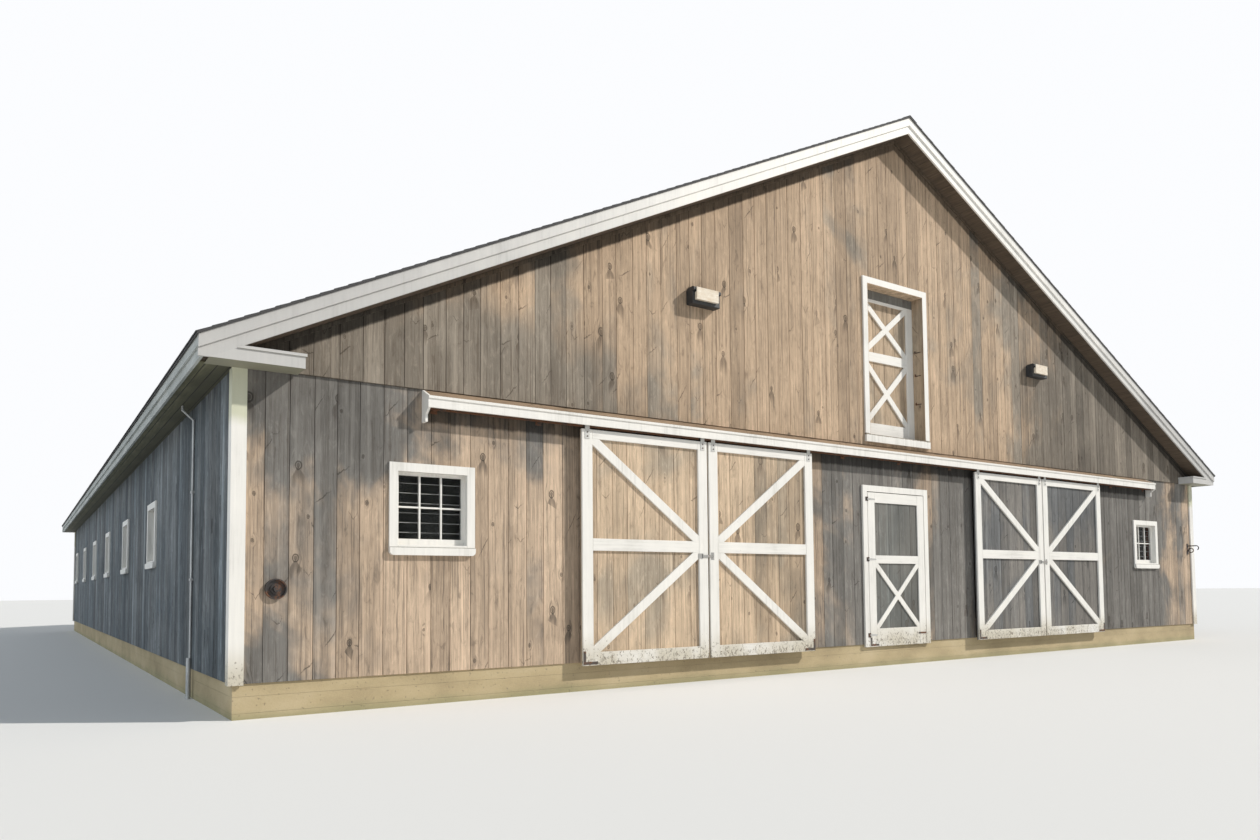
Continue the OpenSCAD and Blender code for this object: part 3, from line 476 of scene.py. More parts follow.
# The greyer patches on the door gable and the front are painted shade of trees, and the one with less than
# nothing, at the right end of the front, is a painted pool of sunlight.
gable_boards = old_boards("gable_boards", (0.535, 0.392, 0.268), (0.300, 0.258, 0.207), (0.115, 0.084, 0.058),
                          -0.15, greying_and_painted_shade=((0.8, 4.0, 0.19), (3.8, 6.0, 0.23), (-4.8, -6.6, 0.16),
                                         (-3.4, -5.2, 0.22, 4.5, 3.5), (2.6, 3.8, 0.20, 5.6, 4.4)),
                          damp_and_painted_shade=(7.87, 0.5, 0.17, 9.2))
front_boards = old_boards("front_boards", (0.620, 0.468, 0.336), (0.218, 0.206, 0.188), (0.092, 0.076, 0.062),
                          -0.08, greying_and_painted_shade=((-2.6, -0.1, 0.27), (5.0, 5.6, 0.17), (7.3, 8.3, -0.30),
                                         (-6.4, -8.8, 0.16), (-6.3, -7.9, 0.26, 1.7, 2.7)),
                          damp_and_painted_shade=(3.18, 0.0, 0.35, 7.37))
back_boards = old_boards("back_boards", (0.560, 0.425, 0.305), (0.235, 0.225, 0.205), (0.100, 0.082, 0.066),
                         -0.04, greying_and_painted_shade=((-7.0, 6.0, 0.10),))
# The long left side: its darker, bluer tone is painted shade.
left_boards_painted_shade = old_boards("left_boards_painted_shade", (0.196, 0.210, 0.215), (0.116, 0.136, 0.148), (0.024, 0.027, 0.030),
                         0.04, bleach=2.1, broad=0.6, odd=0.7)
right_boards = old_boards("right_boards", (0.440, 0.360, 0.280), (0.205, 0.196, 0.182), (0.090, 0.078, 0.066),
                          0.03)
inner_boards = close_boards("inner_boards", (30, 30, 2), 0.09, 0.75, (0.10, 0.075, 0.05), (0.21, 0.16, 0.11),
                            (0.02, 0.015, 0.01), upright=True)

half_w, half_l, foot, seam, side_head, proud = 9.145, 12.803, 0.320, 3.180, 3.290, 0.025
roof_under, slope = 7.8704, 0.5
chance = random.Random(60)
near_corner = [-half_w + spot for spot in (0.082, 0.267, 0.483, 0.706, 0.918, 1.135, 1.369, 1.610, 1.859)]
hole_w, hole_foot, hole_head = 0.385, 1.552, 2.350
front_windows, back_windows, right_drop = (-7.271, 7.200), (-7.271, 7.271), 0.050
side_windows = [5.700 + bay * 3.658 - half_l for bay in range(6)]
doorways = [((-5.503, -0.1, 0), (-2.033, 0.1, 2.870)), ((1.730, -0.1, 0), (5.314, 0.1, 2.870)),
            ((-0.779, -0.1, 0), (0.481, 0.1, 2.506))]
loft_doorway = ((-0.6975, -0.1, 3.335), (0.5475, 0.1, 5.553))


def window_holes(spots, drop=0.0):
    return [((x - hole_w, -0.1, hole_foot - drop), (x + hole_w, 0.1, hole_head - drop)) for x in spots]


def gable_head(x):
    return roof_under - slope * abs(x) + 0.12


front = boarding("front_siding", board_edges(-half_w, half_w, chance, near_corner), foot, seam, chance)
cut_through(front, *window_holes(front_windows[:1]), *window_holes(front_windows[1:], right_drop), *doorways)
stood(front, half_l)
clad(front, front_boards, "front_wall_core",
     ["front_wall_left", "front_wall_mid_left", "front_wall_mid_right", "front_wall_right",
      "front_wall_over_doors", "front_wall_over_person_door"], 1, -half_l)
back = boarding("back_siding", board_edges(-half_w, half_w, chance), foot, seam, chance)
cut_through(back, *window_holes(back_windows))
stood(back, half_l, math.pi)
clad(back, back_boards, "back_wall_core", ["back_wall"], 1, half_l)
for name, finish, spots, turn, face in (
        ("left", left_boards_painted_shade, [-y for y in side_windows], -math.pi / 2, -half_w),
        ("right", right_boards, side_windows, math.pi / 2, half_w)):
    long_side = boarding(name + "_siding", board_edges(0.004 - half_l, half_l - 0.004, chance), foot,
                         side_head, chance)
    cut_through(long_side, *window_holes(spots))
    stood(long_side, half_w, turn)
    clad(long_side, finish, name + "_wall_core", [name + "_wall"], 0, face)

for name, turn, face in (("front_gable", 0.0, -half_l - proud), ("back_gable", math.pi, half_l + proud)):
    gable = boarding(name + "_siding", board_edges(-half_w, half_w, chance), seam, gable_head, chance)
    sliced(gable, (0, 0, roof_under - 0.002), (slope, 0, 1))
    sliced(gable, (0, 0, roof_under - 0.002), (-slope, 0, 1))
    if name == "front_gable":
        cut_through(gable, loft_doorway)
    strips = []
    for way in (1, -1):
        strip = sawn("strip", (0.0008, -0.018, -0.045), (9.05, 0, 0))
        for corner in strip.data.vertices:
            corner.co.z += roof_under - 0.003 - slope * corner.co.x
        strips.append(marked(strip if way > 0 else mirrored(strip), chance))
    fixed_up(name + "_siding", [gable, *strips])
    stood(gable, half_l + proud, turn)
    clad(gable, gable_boards, name + "_core", [name], 1, face)

# Loft floor: planks on deep joists, sawn and never painted, grey with dust. It hangs on the walls at
# the height of the eaves.

dressed(close_boards("loft_planks", (36, 2.2, 36), 0.1, 0.72, (0.20, 0.155, 0.105), (0.34, 0.28, 0.20),
                     (0.03, 0.022, 0.015), upright=False), cad["loft_floor"])

# Roof: rafters with closed sheathing, whose weathered underside shows at the rakes, under black
# asphalt shingles. Each shingle is a strip cut into tabs, 305 mm wide with 144 mm showing, laid in
# courses between eaves and ridge, every second one half a tab along. Folded caps close the ridge.

ridge, edge_y, exposure, tab_w, cap_w = 8.1185, 13.146, 0.1436, 0.3057, 0.1428
slope_length, deck_top, deck_board_half = 1.118, 8.0936, 0.095


def grit(finish, seed_at):
    """Mineral grit on asphalt: the tone of each tab, the grain, and where rain has washed it."""
    tab = finish.node("ShaderNodeTexWhiteNoise", {"noise_dimensions": "3D"}, (seed_at,))
    grain = finish.noise((420, 420, 420), 2, 0.7)
    wash = finish.noise((0.9, 0.5, 0.9), 4)
    tone = (tab * 0.38 + wash * 0.30 + grain * 0.32).shades(
        (0.22, (0.036, 0.036, 0.037)), (0.50, (0.052, 0.051, 0.052)), (0.80, (0.082, 0.079, 0.075)))
    return tone, grain, wash


def in_a_row(piece, count, step):
    """The piece and copies of it, each a step on from the one before, as one mesh."""
    picked(piece)
    row = piece.modifiers.new("row", "ARRAY")
    row.count, row.use_relative_offset, row.use_constant_offset = count, False, True
    row.constant_offset_displace = step
    bpy.ops.object.modifier_apply(modifier=row.name)
    return piece


tabs = Finish("shingle_tabs")
across = tabs.at.axis("X")
course = (abs(across) * (slope_length / exposure) + 0.002).maths("FLOOR")
spot = ((tabs.at.axis("Y") + edge_y) * (1 / tab_w) + (course % 2.0) * 0.5).maths("FLOOR")
tab_tone, tab_grain, tab_wash = grit(tabs, tabs.vector(course, spot, across.maths("SIGN")))
lichen = tabs.noise((7, 7, 7), 5, 0.7).step(0.66, 0.74) * tab_wash.step(0.5, 0.62)
shingles = tabs.give(Base_Color=tabs.mixed(lichen * 0.5, tab_tone, (0.20, 0.21, 0.15)),
                     Roughness=0.82 + tab_grain * 0.15, Normal=tabs.relief(tab_grain, 0.0015, 0.8))

deck = Finish("sheathing")
deck_line = deck.at.axis("Z") + abs(deck.at.axis("X")) * slope
rough_grain = deck.noise((46, 2.4, 46), 6, 0.65, 0.4)
deck_joint = (deck.at.axis("X") * slope_length).maths("PINGPONG", deck_board_half).step(0.004, 0.0)
deck_tone = rough_grain.shades(
    (0.30, (0.062, 0.043, 0.028)), (0.52, (0.105, 0.075, 0.050)), (0.75, (0.165, 0.122, 0.083)))
deck_tone = deck.mixed(deck_joint * 0.75, deck_tone, (0.03, 0.02, 0.012))
deck_tone = deck.mixed(deck_line.step(deck_top, deck_top + 0.0004), deck_tone, grit(deck, deck.at)[0])
sheathing = deck.give(Base_Color=deck_tone, Roughness=0.74 + rough_grain * 0.2,
                      Normal=deck.relief(rough_grain - deck_joint * 2, 0.002))
dressed(sheathing, cad["roof_left"], cad["roof_right"])

for name in ("shingles_left", "shingles_right"):
    tab = sawn("tab", (0, 0.003, -0.002), (exposure + 0.012, tab_w - 0.003, 0.0065), 0)
    for corner in tab.data.vertices:
        if corner.co.x < 0.01 and corner.co.z > 0:
            corner.co.z = 0.0
    courses = []
    for row, count in ((0, 86), (1, 87)):
        first = another(tab, Matrix.Translation((row * exposure, -edge_y - row * tab_w / 2, 0)))
        courses.append(in_a_row(first, count, (0, tab_w, 0)))
    bpy.data.objects.remove(tab)
    cover = in_a_row(fixed_up(name, courses), 37, (exposure * 2, 0, 0))
    sliced(cover, (0, edge_y, 0), (0, 1, 0))
    sliced(cover, (0, -edge_y, 0), (0, -1, 0))
    shaped(cover, bpy.ops.transform.vertex_random, offset=0.0012, seed=3)
    cover.data.transform(Matrix.Translation((0, 0, ridge)) @ Matrix.Rotation(math.atan(slope), 4, "Y"))
    if name == "shingles_left":
        mirrored(cover)
    fitted(cover, shingles)

caps = sawn("ridge_caps", (-0.150, -0.002, 0), (0.150, 0.160, 0.005), 0)
shaped(caps, bpy.ops.mesh.subdivide, number_cuts=1)
for corner in caps.data.vertices:
    corner.co.z += 0.006 + ridge + 0.006 * (corner.co.y > 0.1) - slope * abs(corner.co.x)
    corner.co.y += -edge_y
in_a_row(caps, 184, (0, cap_w, 0))
sliced(caps, (0, edge_y, 0), (0, 1, 0))
fitted(caps, shingles)

# Rake boards, eaves, cornice returns and corner boards: planed boards, nailed on and painted white,
# the rakes in two layers. The paint is chalky, greyed with painted shade towards the lower ends of the
# rakes and returns and on the eave fascias, and green at the top of the corner boards, algae with
# painted shade. The eave soffits are bare boards, darker against the wall as painted shade.


def paint(name, wear=0.0, foot=None, green=None, under=False, crack=None, dirt_and_painted_shade=None):
    """Old white paint on wood. Wear bares the wood, most near the foot. The other arguments, in turn:
    the height from which the top turns green and darker, algae with painted shade; whether the faces
    that look down turn green brown, a stain with painted shade; the height of a cracked joint; and
    painted shade greying the paint: a clean height, the height of the most, and how much."""
    coat = Finish(name)
    cloud = coat.noise((1.7, 1.7, 1.1))
    run = coat.noise((34, 34, 1.6), 4)
    level_run = coat.noise((2.0, 34, 34), 4)
    flake = coat.noise((46, 46, 30), 5, 0.7, 0.3)
    speck = coat.noise((260, 260, 260), 2, 0.6)
    lie = coat.node("ShaderNodeAttribute", {"attribute_name": "lie"}, (), out="Fac")
    brushed = run * (1 - lie) + level_run * lie
    tone = (cloud * 0.55 + brushed * 0.45).shades(
        (0.30, (0.62, 0.60, 0.55)), (0.47, (0.80, 0.775, 0.725)), (0.70, (0.89, 0.86, 0.80)))
    tone = coat.mixed(speck.step(0.64, 0.76) * 0.30, tone, (0.45, 0.43, 0.38))
    # Painted shade: the paint greys from a clean height down to the height of the most.
    if dirt_and_painted_shade:
        clean, worst, amount = dirt_and_painted_shade
        painted_shade_low = (coat.at.axis("Z") + (cloud - 0.5) * 1.2).step(clean, worst)
        tone = coat.mixed(painted_shade_low * amount, tone, (0.31, 0.305, 0.305))
    bare = (flake + cloud * 0.25).step(0.86 - wear, 0.90 - wear)
    if foot:
        low = coat.at.axis("Z").step(foot + 0.42, foot + 0.02)
        bare = (flake + cloud * 0.2 + low * 0.17).step(0.82 - wear, 0.86 - wear)
        tone = coat.mixed(low * cloud.step(0.32, 0.58) * 0.60, tone, (0.40, 0.34, 0.21))
    if crack:
        bare = bare.maths("MAXIMUM", (abs(coat.at.axis("Z") - crack) - flake * 0.03).step(0.0, -0.006))
    # Algae at the top, with the painted shade of the cornice return over it.
    if green:
        algae_and_painted_shade = (coat.at.axis("Z") + cloud * 0.25).step(green + 0.06, green + 0.20)
        tone = coat.mixed(algae_and_painted_shade * 0.55, tone, (0.40, 0.42, 0.20))
    # Faces that look down turn green brown: a stain, with painted shade.
    if under:
        facing = coat.node("ShaderNodeNewGeometry", out="Normal").axis("Z")
        tone = coat.mixed(facing.step(-0.5, -0.9) * 0.8, tone, (0.21, 0.20, 0.12))
    tone = coat.mixed(bare, tone, brushed.shades((0.35, (0.20, 0.17, 0.13)), (0.65, (0.38, 0.34, 0.28))))
    return coat.give(Base_Color=tone, Roughness=0.48 + cloud * 0.16 + bare * 0.26,
                     Normal=coat.relief(brushed * 0.4 + speck * 0.12 - bare * 0.9, 0.0016, 0.8))


def lying(piece):
    """Marks boards whose grain runs level."""
    mark = piece.data.attributes.new("lie", "FLOAT", "POINT")
    mark.data.foreach_set("value", [1.0] * len(piece.data.vertices))
    return piece


# The rakes and returns grey towards their lower ends as painted shade.
rake_paint = paint("rake_paint", wear=-0.04, dirt_and_painted_shade=(6.6, 3.7, 0.62))
dressed(rake_paint, cad["rake_boards_front"], cad["rake_boards_back"])
dressed(paint("return_paint", wear=-0.05, under=True, dirt_and_painted_shade=(6.6, 3.7, 0.58)), cad["cornice_returns"])
dressed(paint("corner_paint", wear=-0.02, foot=0.31, green=2.70), cad["corner_boards"])

eave, soffit_edge = Finish("eave_paint"), 9.445
eave_cloud = eave.noise((1.4, 1.4, 3.0))
eave_run = eave.noise((40, 1.8, 40), 5, 0.6, 0.3)
eave_out = abs(eave.at.axis("X"))
soffit_joint = (eave_out - 0.022).maths("PINGPONG", 0.052).step(0.007, 0.002)
soffit_tone = (eave_run * 0.6 + eave_cloud * 0.4).shades(
    (0.34, (0.085, 0.080, 0.045)), (0.52, (0.155, 0.150, 0.085)), (0.70, (0.25, 0.23, 0.15)))
# Darker against the wall: painted shade in the corner under the eave.
soffit_tone = eave.mixed(eave_out.step(9.40, 9.22) * 0.6, soffit_tone, (0.045, 0.042, 0.026))
soffit_tone = eave.mixed(soffit_joint * 0.85, soffit_tone, (0.012, 0.012, 0.008))
# The fascias' white paint is greyed as painted shade.
fascia_tone_painted_shade = (eave_cloud * 0.6 + eave_run * 0.4).shades(
    (0.32, (0.27, 0.29, 0.275)), (0.50, (0.40, 0.42, 0.40)), (0.70, (0.56, 0.57, 0.55)))
outside = eave_out.step(soffit_edge - 0.0005, soffit_edge + 0.0005)
eave_finish = eave.give(Base_Color=eave.mixed(outside, soffit_tone, fascia_tone_painted_shade),
                        Roughness=0.55 + eave_run * 0.25,
                        Normal=eave.relief(eave_run * 0.5 - soffit_joint, 0.0016))
dressed(eave_finish, cad["left_eave"], cad["right_eave"])

# Windows: a fixed sash of six small panes in a white casing with a sill, thin bars between the panes,
# six iron guard rods behind and a red brown lining inside the wall. A thick ledge closes the foot of
# each opening, and a dark strip along the joint between it and the sill is dirt with a painted shadow line.

casing_paint = paint("casing_paint", wear=0.01)
dressed(casing_paint, cad["window_frames"])
pane = Finish("old_glass")
smear = pane.noise((3.0, 3.0, 2.0), 4)
dust = pane.noise((60, 60, 45), 4, 0.65)
dull = (smear * 0.6 + dust * 0.4).step(0.45, 0.70)
window_glass = pane.give(Base_Color=dust.shades((0.3, (0.010, 0.012, 0.011)), (0.7, (0.030, 0.033, 0.031))),
                         Roughness=dull * 0.20 + 0.05, Alpha=0.16 + dull * 0.26, Specular_IOR_Level=0.30,
                         Normal=pane.relief(smear, 0.004, 0.25))
dressed(window_glass, *[cad[wall + "_glass"] for wall in ("front", "back", "left", "right")])


def round_bar(spot, radius, length, turn):
    """A round bar about a spot, its length along Z until it is turned."""
    put_down()
    bpy.ops.mesh.primitive_cylinder_add(vertices=12, radius=radius, depth=length, end_fill_type="NGON",
                                        location=spot, rotation=turn)
    bpy.ops.object.transform_apply()
    return bpy.context.object


light_low, light_high, light_half, bar_half = 1.6622, 2.2998, 0.335, 0.009
light_middle = (light_low + light_high) / 2
bars, rods, linings = [], [], []
for face, back in ((0.057, 0.0717), (0.0763, 0.091)):
    bars += [sawn("bar", (x - bar_half, face, light_low), (x + bar_half, back, light_high))
             for x in (-0.1145, 0.1145)]
    bars += [lying(sawn("bar", (x0, face + 0.0006, light_middle - bar_half),
                        (x1, back - 0.0002, light_middle + bar_half)))
             for x0, x1 in ((-light_half, -0.1238), (-0.1052, 0.1052), (0.1238, light_half))]
for number in range(6):
    rods.append(round_bar((0, 0.118, 1.729 + number * 0.100), 0.005, 0.768, (0, math.pi / 2, 0)))
    bpy.ops.object.shade_smooth_by_angle(angle=math.radians(40))
lining_thick, lining_front, lining_back = 0.022, 0.0935, 0.1495
upright_edge, level_end = hole_w - lining_thick, hole_w - lining_thick - 0.0002
for x0, z0, x1, z1 in ((-hole_w, hole_foot, -upright_edge, hole_head),
                       (upright_edge, hole_foot, hole_w, hole_head),
                       (-level_end, hole_foot, level_end, hole_foot + lining_thick),
                       (-level_end, hole_head - lining_thick, level_end, hole_head)):
    linings.append(sawn("lining", (x0, lining_front, z0), (x1, lining_back, z1)))
ledge = [lying(sawn("ledge", (-0.3665, -0.0242, 1.5704), (0.3665, 0.0545, 1.5975), 0.003))]
# A dark strip along the joint between ledge and sill: dirt, with a painted shadow line.
joint = [sawn("joint", (-0.4520, -0.0262, 1.5702), (0.4520, -0.0246, 1.5768), 0.0004)]

ochre = Finish("lining_paint")
ochre_cloud = ochre.noise((14, 14, 5), 5, 0.65)
ochre_tone = ochre_cloud.shades((0.3, (0.13, 0.045, 0.030)), (0.7, (0.24, 0.095, 0.062)))
lining_paint = ochre.give(Base_Color=ochre_tone, Roughness=0.55 + ochre_cloud * 0.25,
                          Normal=ochre.relief(ochre_cloud, 0.0012))
# The joint strip's colour: dirt, darkened further as a painted shadow line.
dirt_and_painted_shade = Finish("joint_dirt_and_shadow")
joint_strip_cloud = dirt_and_painted_shade.noise((40, 40, 40), 4)
joint_dirt_and_shadow = dirt_and_painted_shade.give(Base_Color=joint_strip_cloud.shades((0.3, (0.13, 0.12, 0.10)), (0.7, (0.36, 0.34, 0.30))),
                         Roughness=0.85 + joint_strip_cloud * 0.1, Normal=dirt_and_painted_shade.relief(joint_strip_cloud, 0.0006))


def rusted(name, plain, amount, fine=150, metal=0.7):
    """Iron under old paint or scale; amount is the share that has turned to rust."""
    iron = Finish(name)
    cloud = iron.noise((14, 14, 14), 5, 0.65)
    scale = iron.noise((fine, fine, fine), 4, 0.7)
    rust = (cloud * 0.6 + scale * 0.4).step(0.72 - amount * 0.42, 0.80 - amount * 0.42)
    tone = iron.mixed(rust, iron.mixed(scale * 0.4, plain, (0.03, 0.028, 0.026)),
                      scale.shades((0.3, (0.085, 0.034, 0.016)), (0.7, (0.21, 0.092, 0.042))))
    return iron.give(Base_Color=tone, Roughness=0.45 + rust * 0.35 + scale * 0.1,
                     Metallic=metal - rust * (metal - 0.05),
                     Normal=iron.relief(scale * 0.6 + rust * 0.3, 0.0010))


rod_iron = rusted("rod_iron", (0.62, 0.62, 0.60), 0.12, 150, 0.2)
places = [Matrix.Translation((x, -half_l, -drop)) for x, drop in zip(front_windows, (0, right_drop))]
places += [Matrix.Rotation(math.pi, 4, "Z") @ Matrix.Translation((x, -half_l, 0)) for x in back_windows]
for y in side_windows:
    places += [Matrix.Translation((way * half_w, y, 0)) @ Matrix.Rotation(way * math.pi / 2, 4, "Z")
               for way in (-1, 1)]
for name, parts, finish, slot in (("sash_bars", bars, paint("sash_paint", wear=0.02), "white_trim"),
                                  ("window_ledges", ledge, casing_paint, "white_trim"),
                                  ("ledge_joints", joint, joint_dirt_and_shadow, "white_trim"),
                                  ("guard_rods", rods, rod_iron, "iron"),
                                  ("inner_linings", linings, lining_paint, "timber")):
    pattern = fixed_up(name, parts)
    copies = [another(pattern, place) for place in places[1:]]
    pattern.data.transform(places[0])
    fitted(fixed_up(name, [pattern, *copies]), finish)

# Hood over the sliding doors: a sloping board roof with a painted front board, a lip along its top and
# cut end boards. Under it runs the flat iron bar that carries the doors, bolted to brackets.

dressed(old_boards("hood_top", (0.44, 0.310, 0.205), (0.235, 0.205, 0.105), (0.10, 0.070, 0.038), -0.05,
                   level=True), cad["door_hood"])
dressed(paint("hood_paint", wear=0.03), cad["hood_trim"])
dressed(rusted("track_iron", (0.10, 0.095, 0.09), 0.75), cad["door_track"])

# Casings of the small door and the loft door: flat boards nailed round the openings, with a thick sill
# under the loft door, where the paint has cracked along the joint.

dressed(paint("door_casing_paint", wear=0.01, foot=0.285, crack=3.334), cad["door_casings"])

# Sliding doors: four leaves of upright planks, framed and braced in front with planed boards painted
# white. Each hangs by two straps from grooved wheels on the track. A hasp and a staple close each pair,
# and an angle iron holds the outer bottom corner of each leaf.


def framed(outer, inner, foot, head, rails, thick, gap=0.0006, step=0.0006, arris=0.0025):
    """Two stiles, each from its outer to its inner edge, and between them rails, which stop a gap
    short and lie a step back."""
    (left, right), (inner_left, inner_right) = outer, inner
    parts = [sawn("stile", (left, -thick, foot), (inner_left, 0, head), arris),
             sawn("stile", (inner_right, -thick, foot), (right, 0, head), arris)]
    for low, high in rails:
        rail = sawn("rail", (inner_left + gap, step - thick, low), (inner_right - gap, 0, high), arris)
        parts.append(lying(rail))
    return parts


def brace(x0, z0, x1, z1, wide, thick=0.027):
    """A plank between two corners of a panel, cut off at the panel's four sides."""
    run = Vector((x1 - x0, 0, z1 - z0))
    plank = sawn("brace", (-wide, -thick, -wide / 2), (run.length + wide, 0, wide / 2), 0.0025)
    plank.data.transform(Matrix.Translation((x0, 0, z0)) @ Matrix.Rotation(-math.atan2(run.z, run.x), 4, "Y"))
    for spot, outward in (((min(x0, x1), 0, 0), (-1, 0, 0)), ((max(x0, x1), 0, 0), (1, 0, 0)),
                          ((0, 0, min(z0, z1)), (0, 0, -1)), ((0, 0, max(z0, z1)), (0, 0, 1))):
        sliced(plank, spot, outward)
    return plank


def bolt_head(x, y, z, radius=0.009, out=0.006):
    head = round_bar((x, y - out / 2, z), radius, out, (math.pi / 2, 0, 0))
    shaped(head, bpy.ops.mesh.bevel, offset=radius * 0.22, segments=2, affect="EDGES")
    bpy.ops.object.shade_smooth_by_angle(angle=math.radians(50))
    return head


def flat_iron(x, y, z, long, high, wide=0.032, way=1):
    """An angle iron laid flat on a bottom corner, its legs running in and up."""
    thick = 0.003
    plate = sawn("corner_iron", (0, -thick, 0), (long, 0, high), 0.0006)
    cut_through(plate, ((wide, -1, wide), (1, 1, 1)))
    if way < 0:
        mirrored(plate)
    plate.data.transform(Matrix.Translation((x, y, z)))
    heads = [bolt_head(x + way * beside, y - thick, z + above, 0.006, 0.004)
             for beside, above in ((long - 0.018, wide / 2), (wide / 2, high - 0.018), (wide / 2, wide / 2))]
    return fixed_up("corner_iron", [plate, *heads])


door_planks = old_boards("door_planks", (0.615, 0.468, 0.325), (0.40, 0.335, 0.255), (0.165, 0.122, 0.086),
                         -0.04, knotty=0.3)
# The second pair of leaves: greyer and much darker than the first, as painted shade.
door_planks_painted_shade = old_boards("door_planks_painted_shade", (0.225, 0.208, 0.187), (0.150, 0.153, 0.154), (0.060, 0.058, 0.056),
                         0.06, knotty=0.3)
leaf_paint = paint("leaf_paint", wear=0.02, foot=0.29)
strap_paint = rusted("strap_paint", (0.74, 0.73, 0.69), 0.22, 90, 0.0)
hanger_iron = rusted("hanger_iron", (0.12, 0.11, 0.10), 0.7)
corner_rust = rusted("corner_rust", (0.085, 0.072, 0.062), 0.55, 120, 0.3)
hasp_iron = rusted("hasp_iron", (0.42, 0.41, 0.39), 0.35, 120, 0.6)

leaf_foot, leaf_high, frame_back, frame_thick, stile = 0.290, 2.650, -12.894, 0.029, 0.138
foot_rail, middle_low, middle_high, head_rail, brace_w = 0.147, 1.281, 1.419, leaf_high - 0.105, 0.108
front_of_leaf, hasp_top, wheel_foot, strap_bolts = frame_back - frame_thick, 2.5, 2.9405, (2.858, 2.905)
for body, outer, inner, own_planks in (
        ("door_1_left", -5.573, -3.783, door_planks), ("door_1_right", -1.963, -3.753, door_planks),
        ("door_2_left", 1.660, 3.507, door_planks_painted_shade), ("door_2_right", 5.384, 3.537, door_planks_painted_shade)):
    wide, way = abs(inner - outer), 1 if inner > outer else -1
    planks = boarding(body + "_planks", board_edges(0.003, wide - 0.003, chance), 0.002, leaf_high - 0.002,
                      chance, 0.0035, 0.025, 0.0)
    rails = ((0, foot_rail), (middle_low, middle_high), (head_rail, leaf_high))
    framing = framed((0, wide), (stile, wide - stile), 0, leaf_high, rails, frame_thick, 0.0008, 0.001, 0.003)
    framing.append(brace(stile, head_rail, wide - stile, middle_high, brace_w))
    framing.append(brace(stile, foot_rail, wide - stile, middle_low, brace_w))
    framing = fixed_up(body + "_framing", framing)
    for part in (planks, framing):
        if way < 0:
            mirrored(part)
        part.data.transform(Matrix.Translation((outer, frame_back, leaf_foot)))
    straps = sliced(taken_from(body + "_straps", body + "_frame"), (0, front_of_leaf - 0.0005, 0), (0, 1, 0))
    wheels = sliced(taken_from(body + "_wheels", body + "_frame"), (0, 0, wheel_foot), (0, 0, -1))
    sliced(wheels, (0, front_of_leaf - 0.0005, 0), (0, -1, 0))
    hasp = sliced(fixed_up(body + "_hasp", [another(straps)]), (0, 0, hasp_top), (0, 0, 1))
    sliced(straps, (0, 0, hasp_top), (0, 0, -1))
    irons = [flat_iron(outer + way * 0.004, front_of_leaf, leaf_foot + 0.012, 0.185, 0.150, way=way)]
    irons += [bolt_head(outer + way * x, front_of_leaf - 0.006, z) for x in (0.069, wide - 0.069)
              for z in strap_bolts]
    fitted(planks, own_planks, body)
    fitted(framing, leaf_paint, body)
    fitted(straps, strap_paint, body)
    fitted(wheels, hanger_iron, body)
    fitted(fixed_up(body + "_irons", irons), corner_rust, body)
    fitted(hasp, hasp_iron, body)
    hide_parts(body + "_boards")
    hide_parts(body + "_frame")

# Small door: planks behind a planed frame with a cross in the lower panel, hung on three strap hinges
# whose other halves are on the casing. A flat iron and an angle iron hold its foot together.


def crossed(left, right, low, high, wide, thick):
    """Two braces across each other in a panel, the second a little thinner."""
    return [brace(left, low, right, high, wide, thick), brace(right, low, left, high, wide, thick - 0.0007)]


small_face, small_front = 12.813, -12.833
outer, inner, small_foot, small_head = (-0.768, 0.470), (-0.622, 0.324), 0.284, 2.495
panel_foot, panel_head, middle_low, middle_high = 0.539, 2.349, 1.472, 1.588
small_planks = boarding("person_door_planks", board_edges(-0.765, 0.467, chance), 0.286, 2.493, chance,
                        0.003, 0.020, 0.0)
rails = ((small_foot, panel_foot), (middle_low, middle_high), (panel_head, small_head))
small_frame = framed(outer, inner, small_foot, small_head, rails, 0.020)
small_frame += crossed(*inner, panel_foot, middle_low, 0.074, 0.0185)
small_frame = fixed_up("person_door_framing", small_frame)
stood(small_planks, small_face)
stood(small_frame, small_face)
hinges = taken_from("person_door_hinges", "person_door_frame")
sliced(hinges, (0, small_front - 0.0003, 0), (0, 1, 0))
foot_irons = [sawn("foot_iron", (0.292, small_front - 0.0035, 0.436), (0.462, small_front, 0.460), 0.0006)]
foot_irons += [bolt_head(x, small_front - 0.0035, 0.448, 0.005, 0.003) for x in (0.308, 0.376, 0.446)]
foot_irons.append(flat_iron(outer[0] + 0.006, small_front, small_foot + 0.012, 0.17, 0.12, 0.026))
# The small door's planks: grey, and darker still as painted shade; the loft header shares them.
small_planks_painted_shade = old_boards("small_door_planks_painted_shade", (0.205, 0.200, 0.182), (0.150, 0.155, 0.146),
                        (0.15, 0.135, 0.115), 0.05)
fitted(small_planks, small_planks_painted_shade, "person_door")
fitted(small_frame, leaf_paint, "person_door")
fitted(hinges, rusted("hinge_paint", (0.62, 0.61, 0.58), 0.38, 90, 0.0), "person_door")
fitted(fixed_up("person_door_irons", foot_irons), corner_rust, "person_door")
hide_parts("person_door_boards")
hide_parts("person_door_frame")

# Loft door: planks on the inner face of the wall, with two crossed panels framed in white and a bare
# header board above. The sides of the opening are lined with thin boards, and three small iron
# catches stand on the right one.

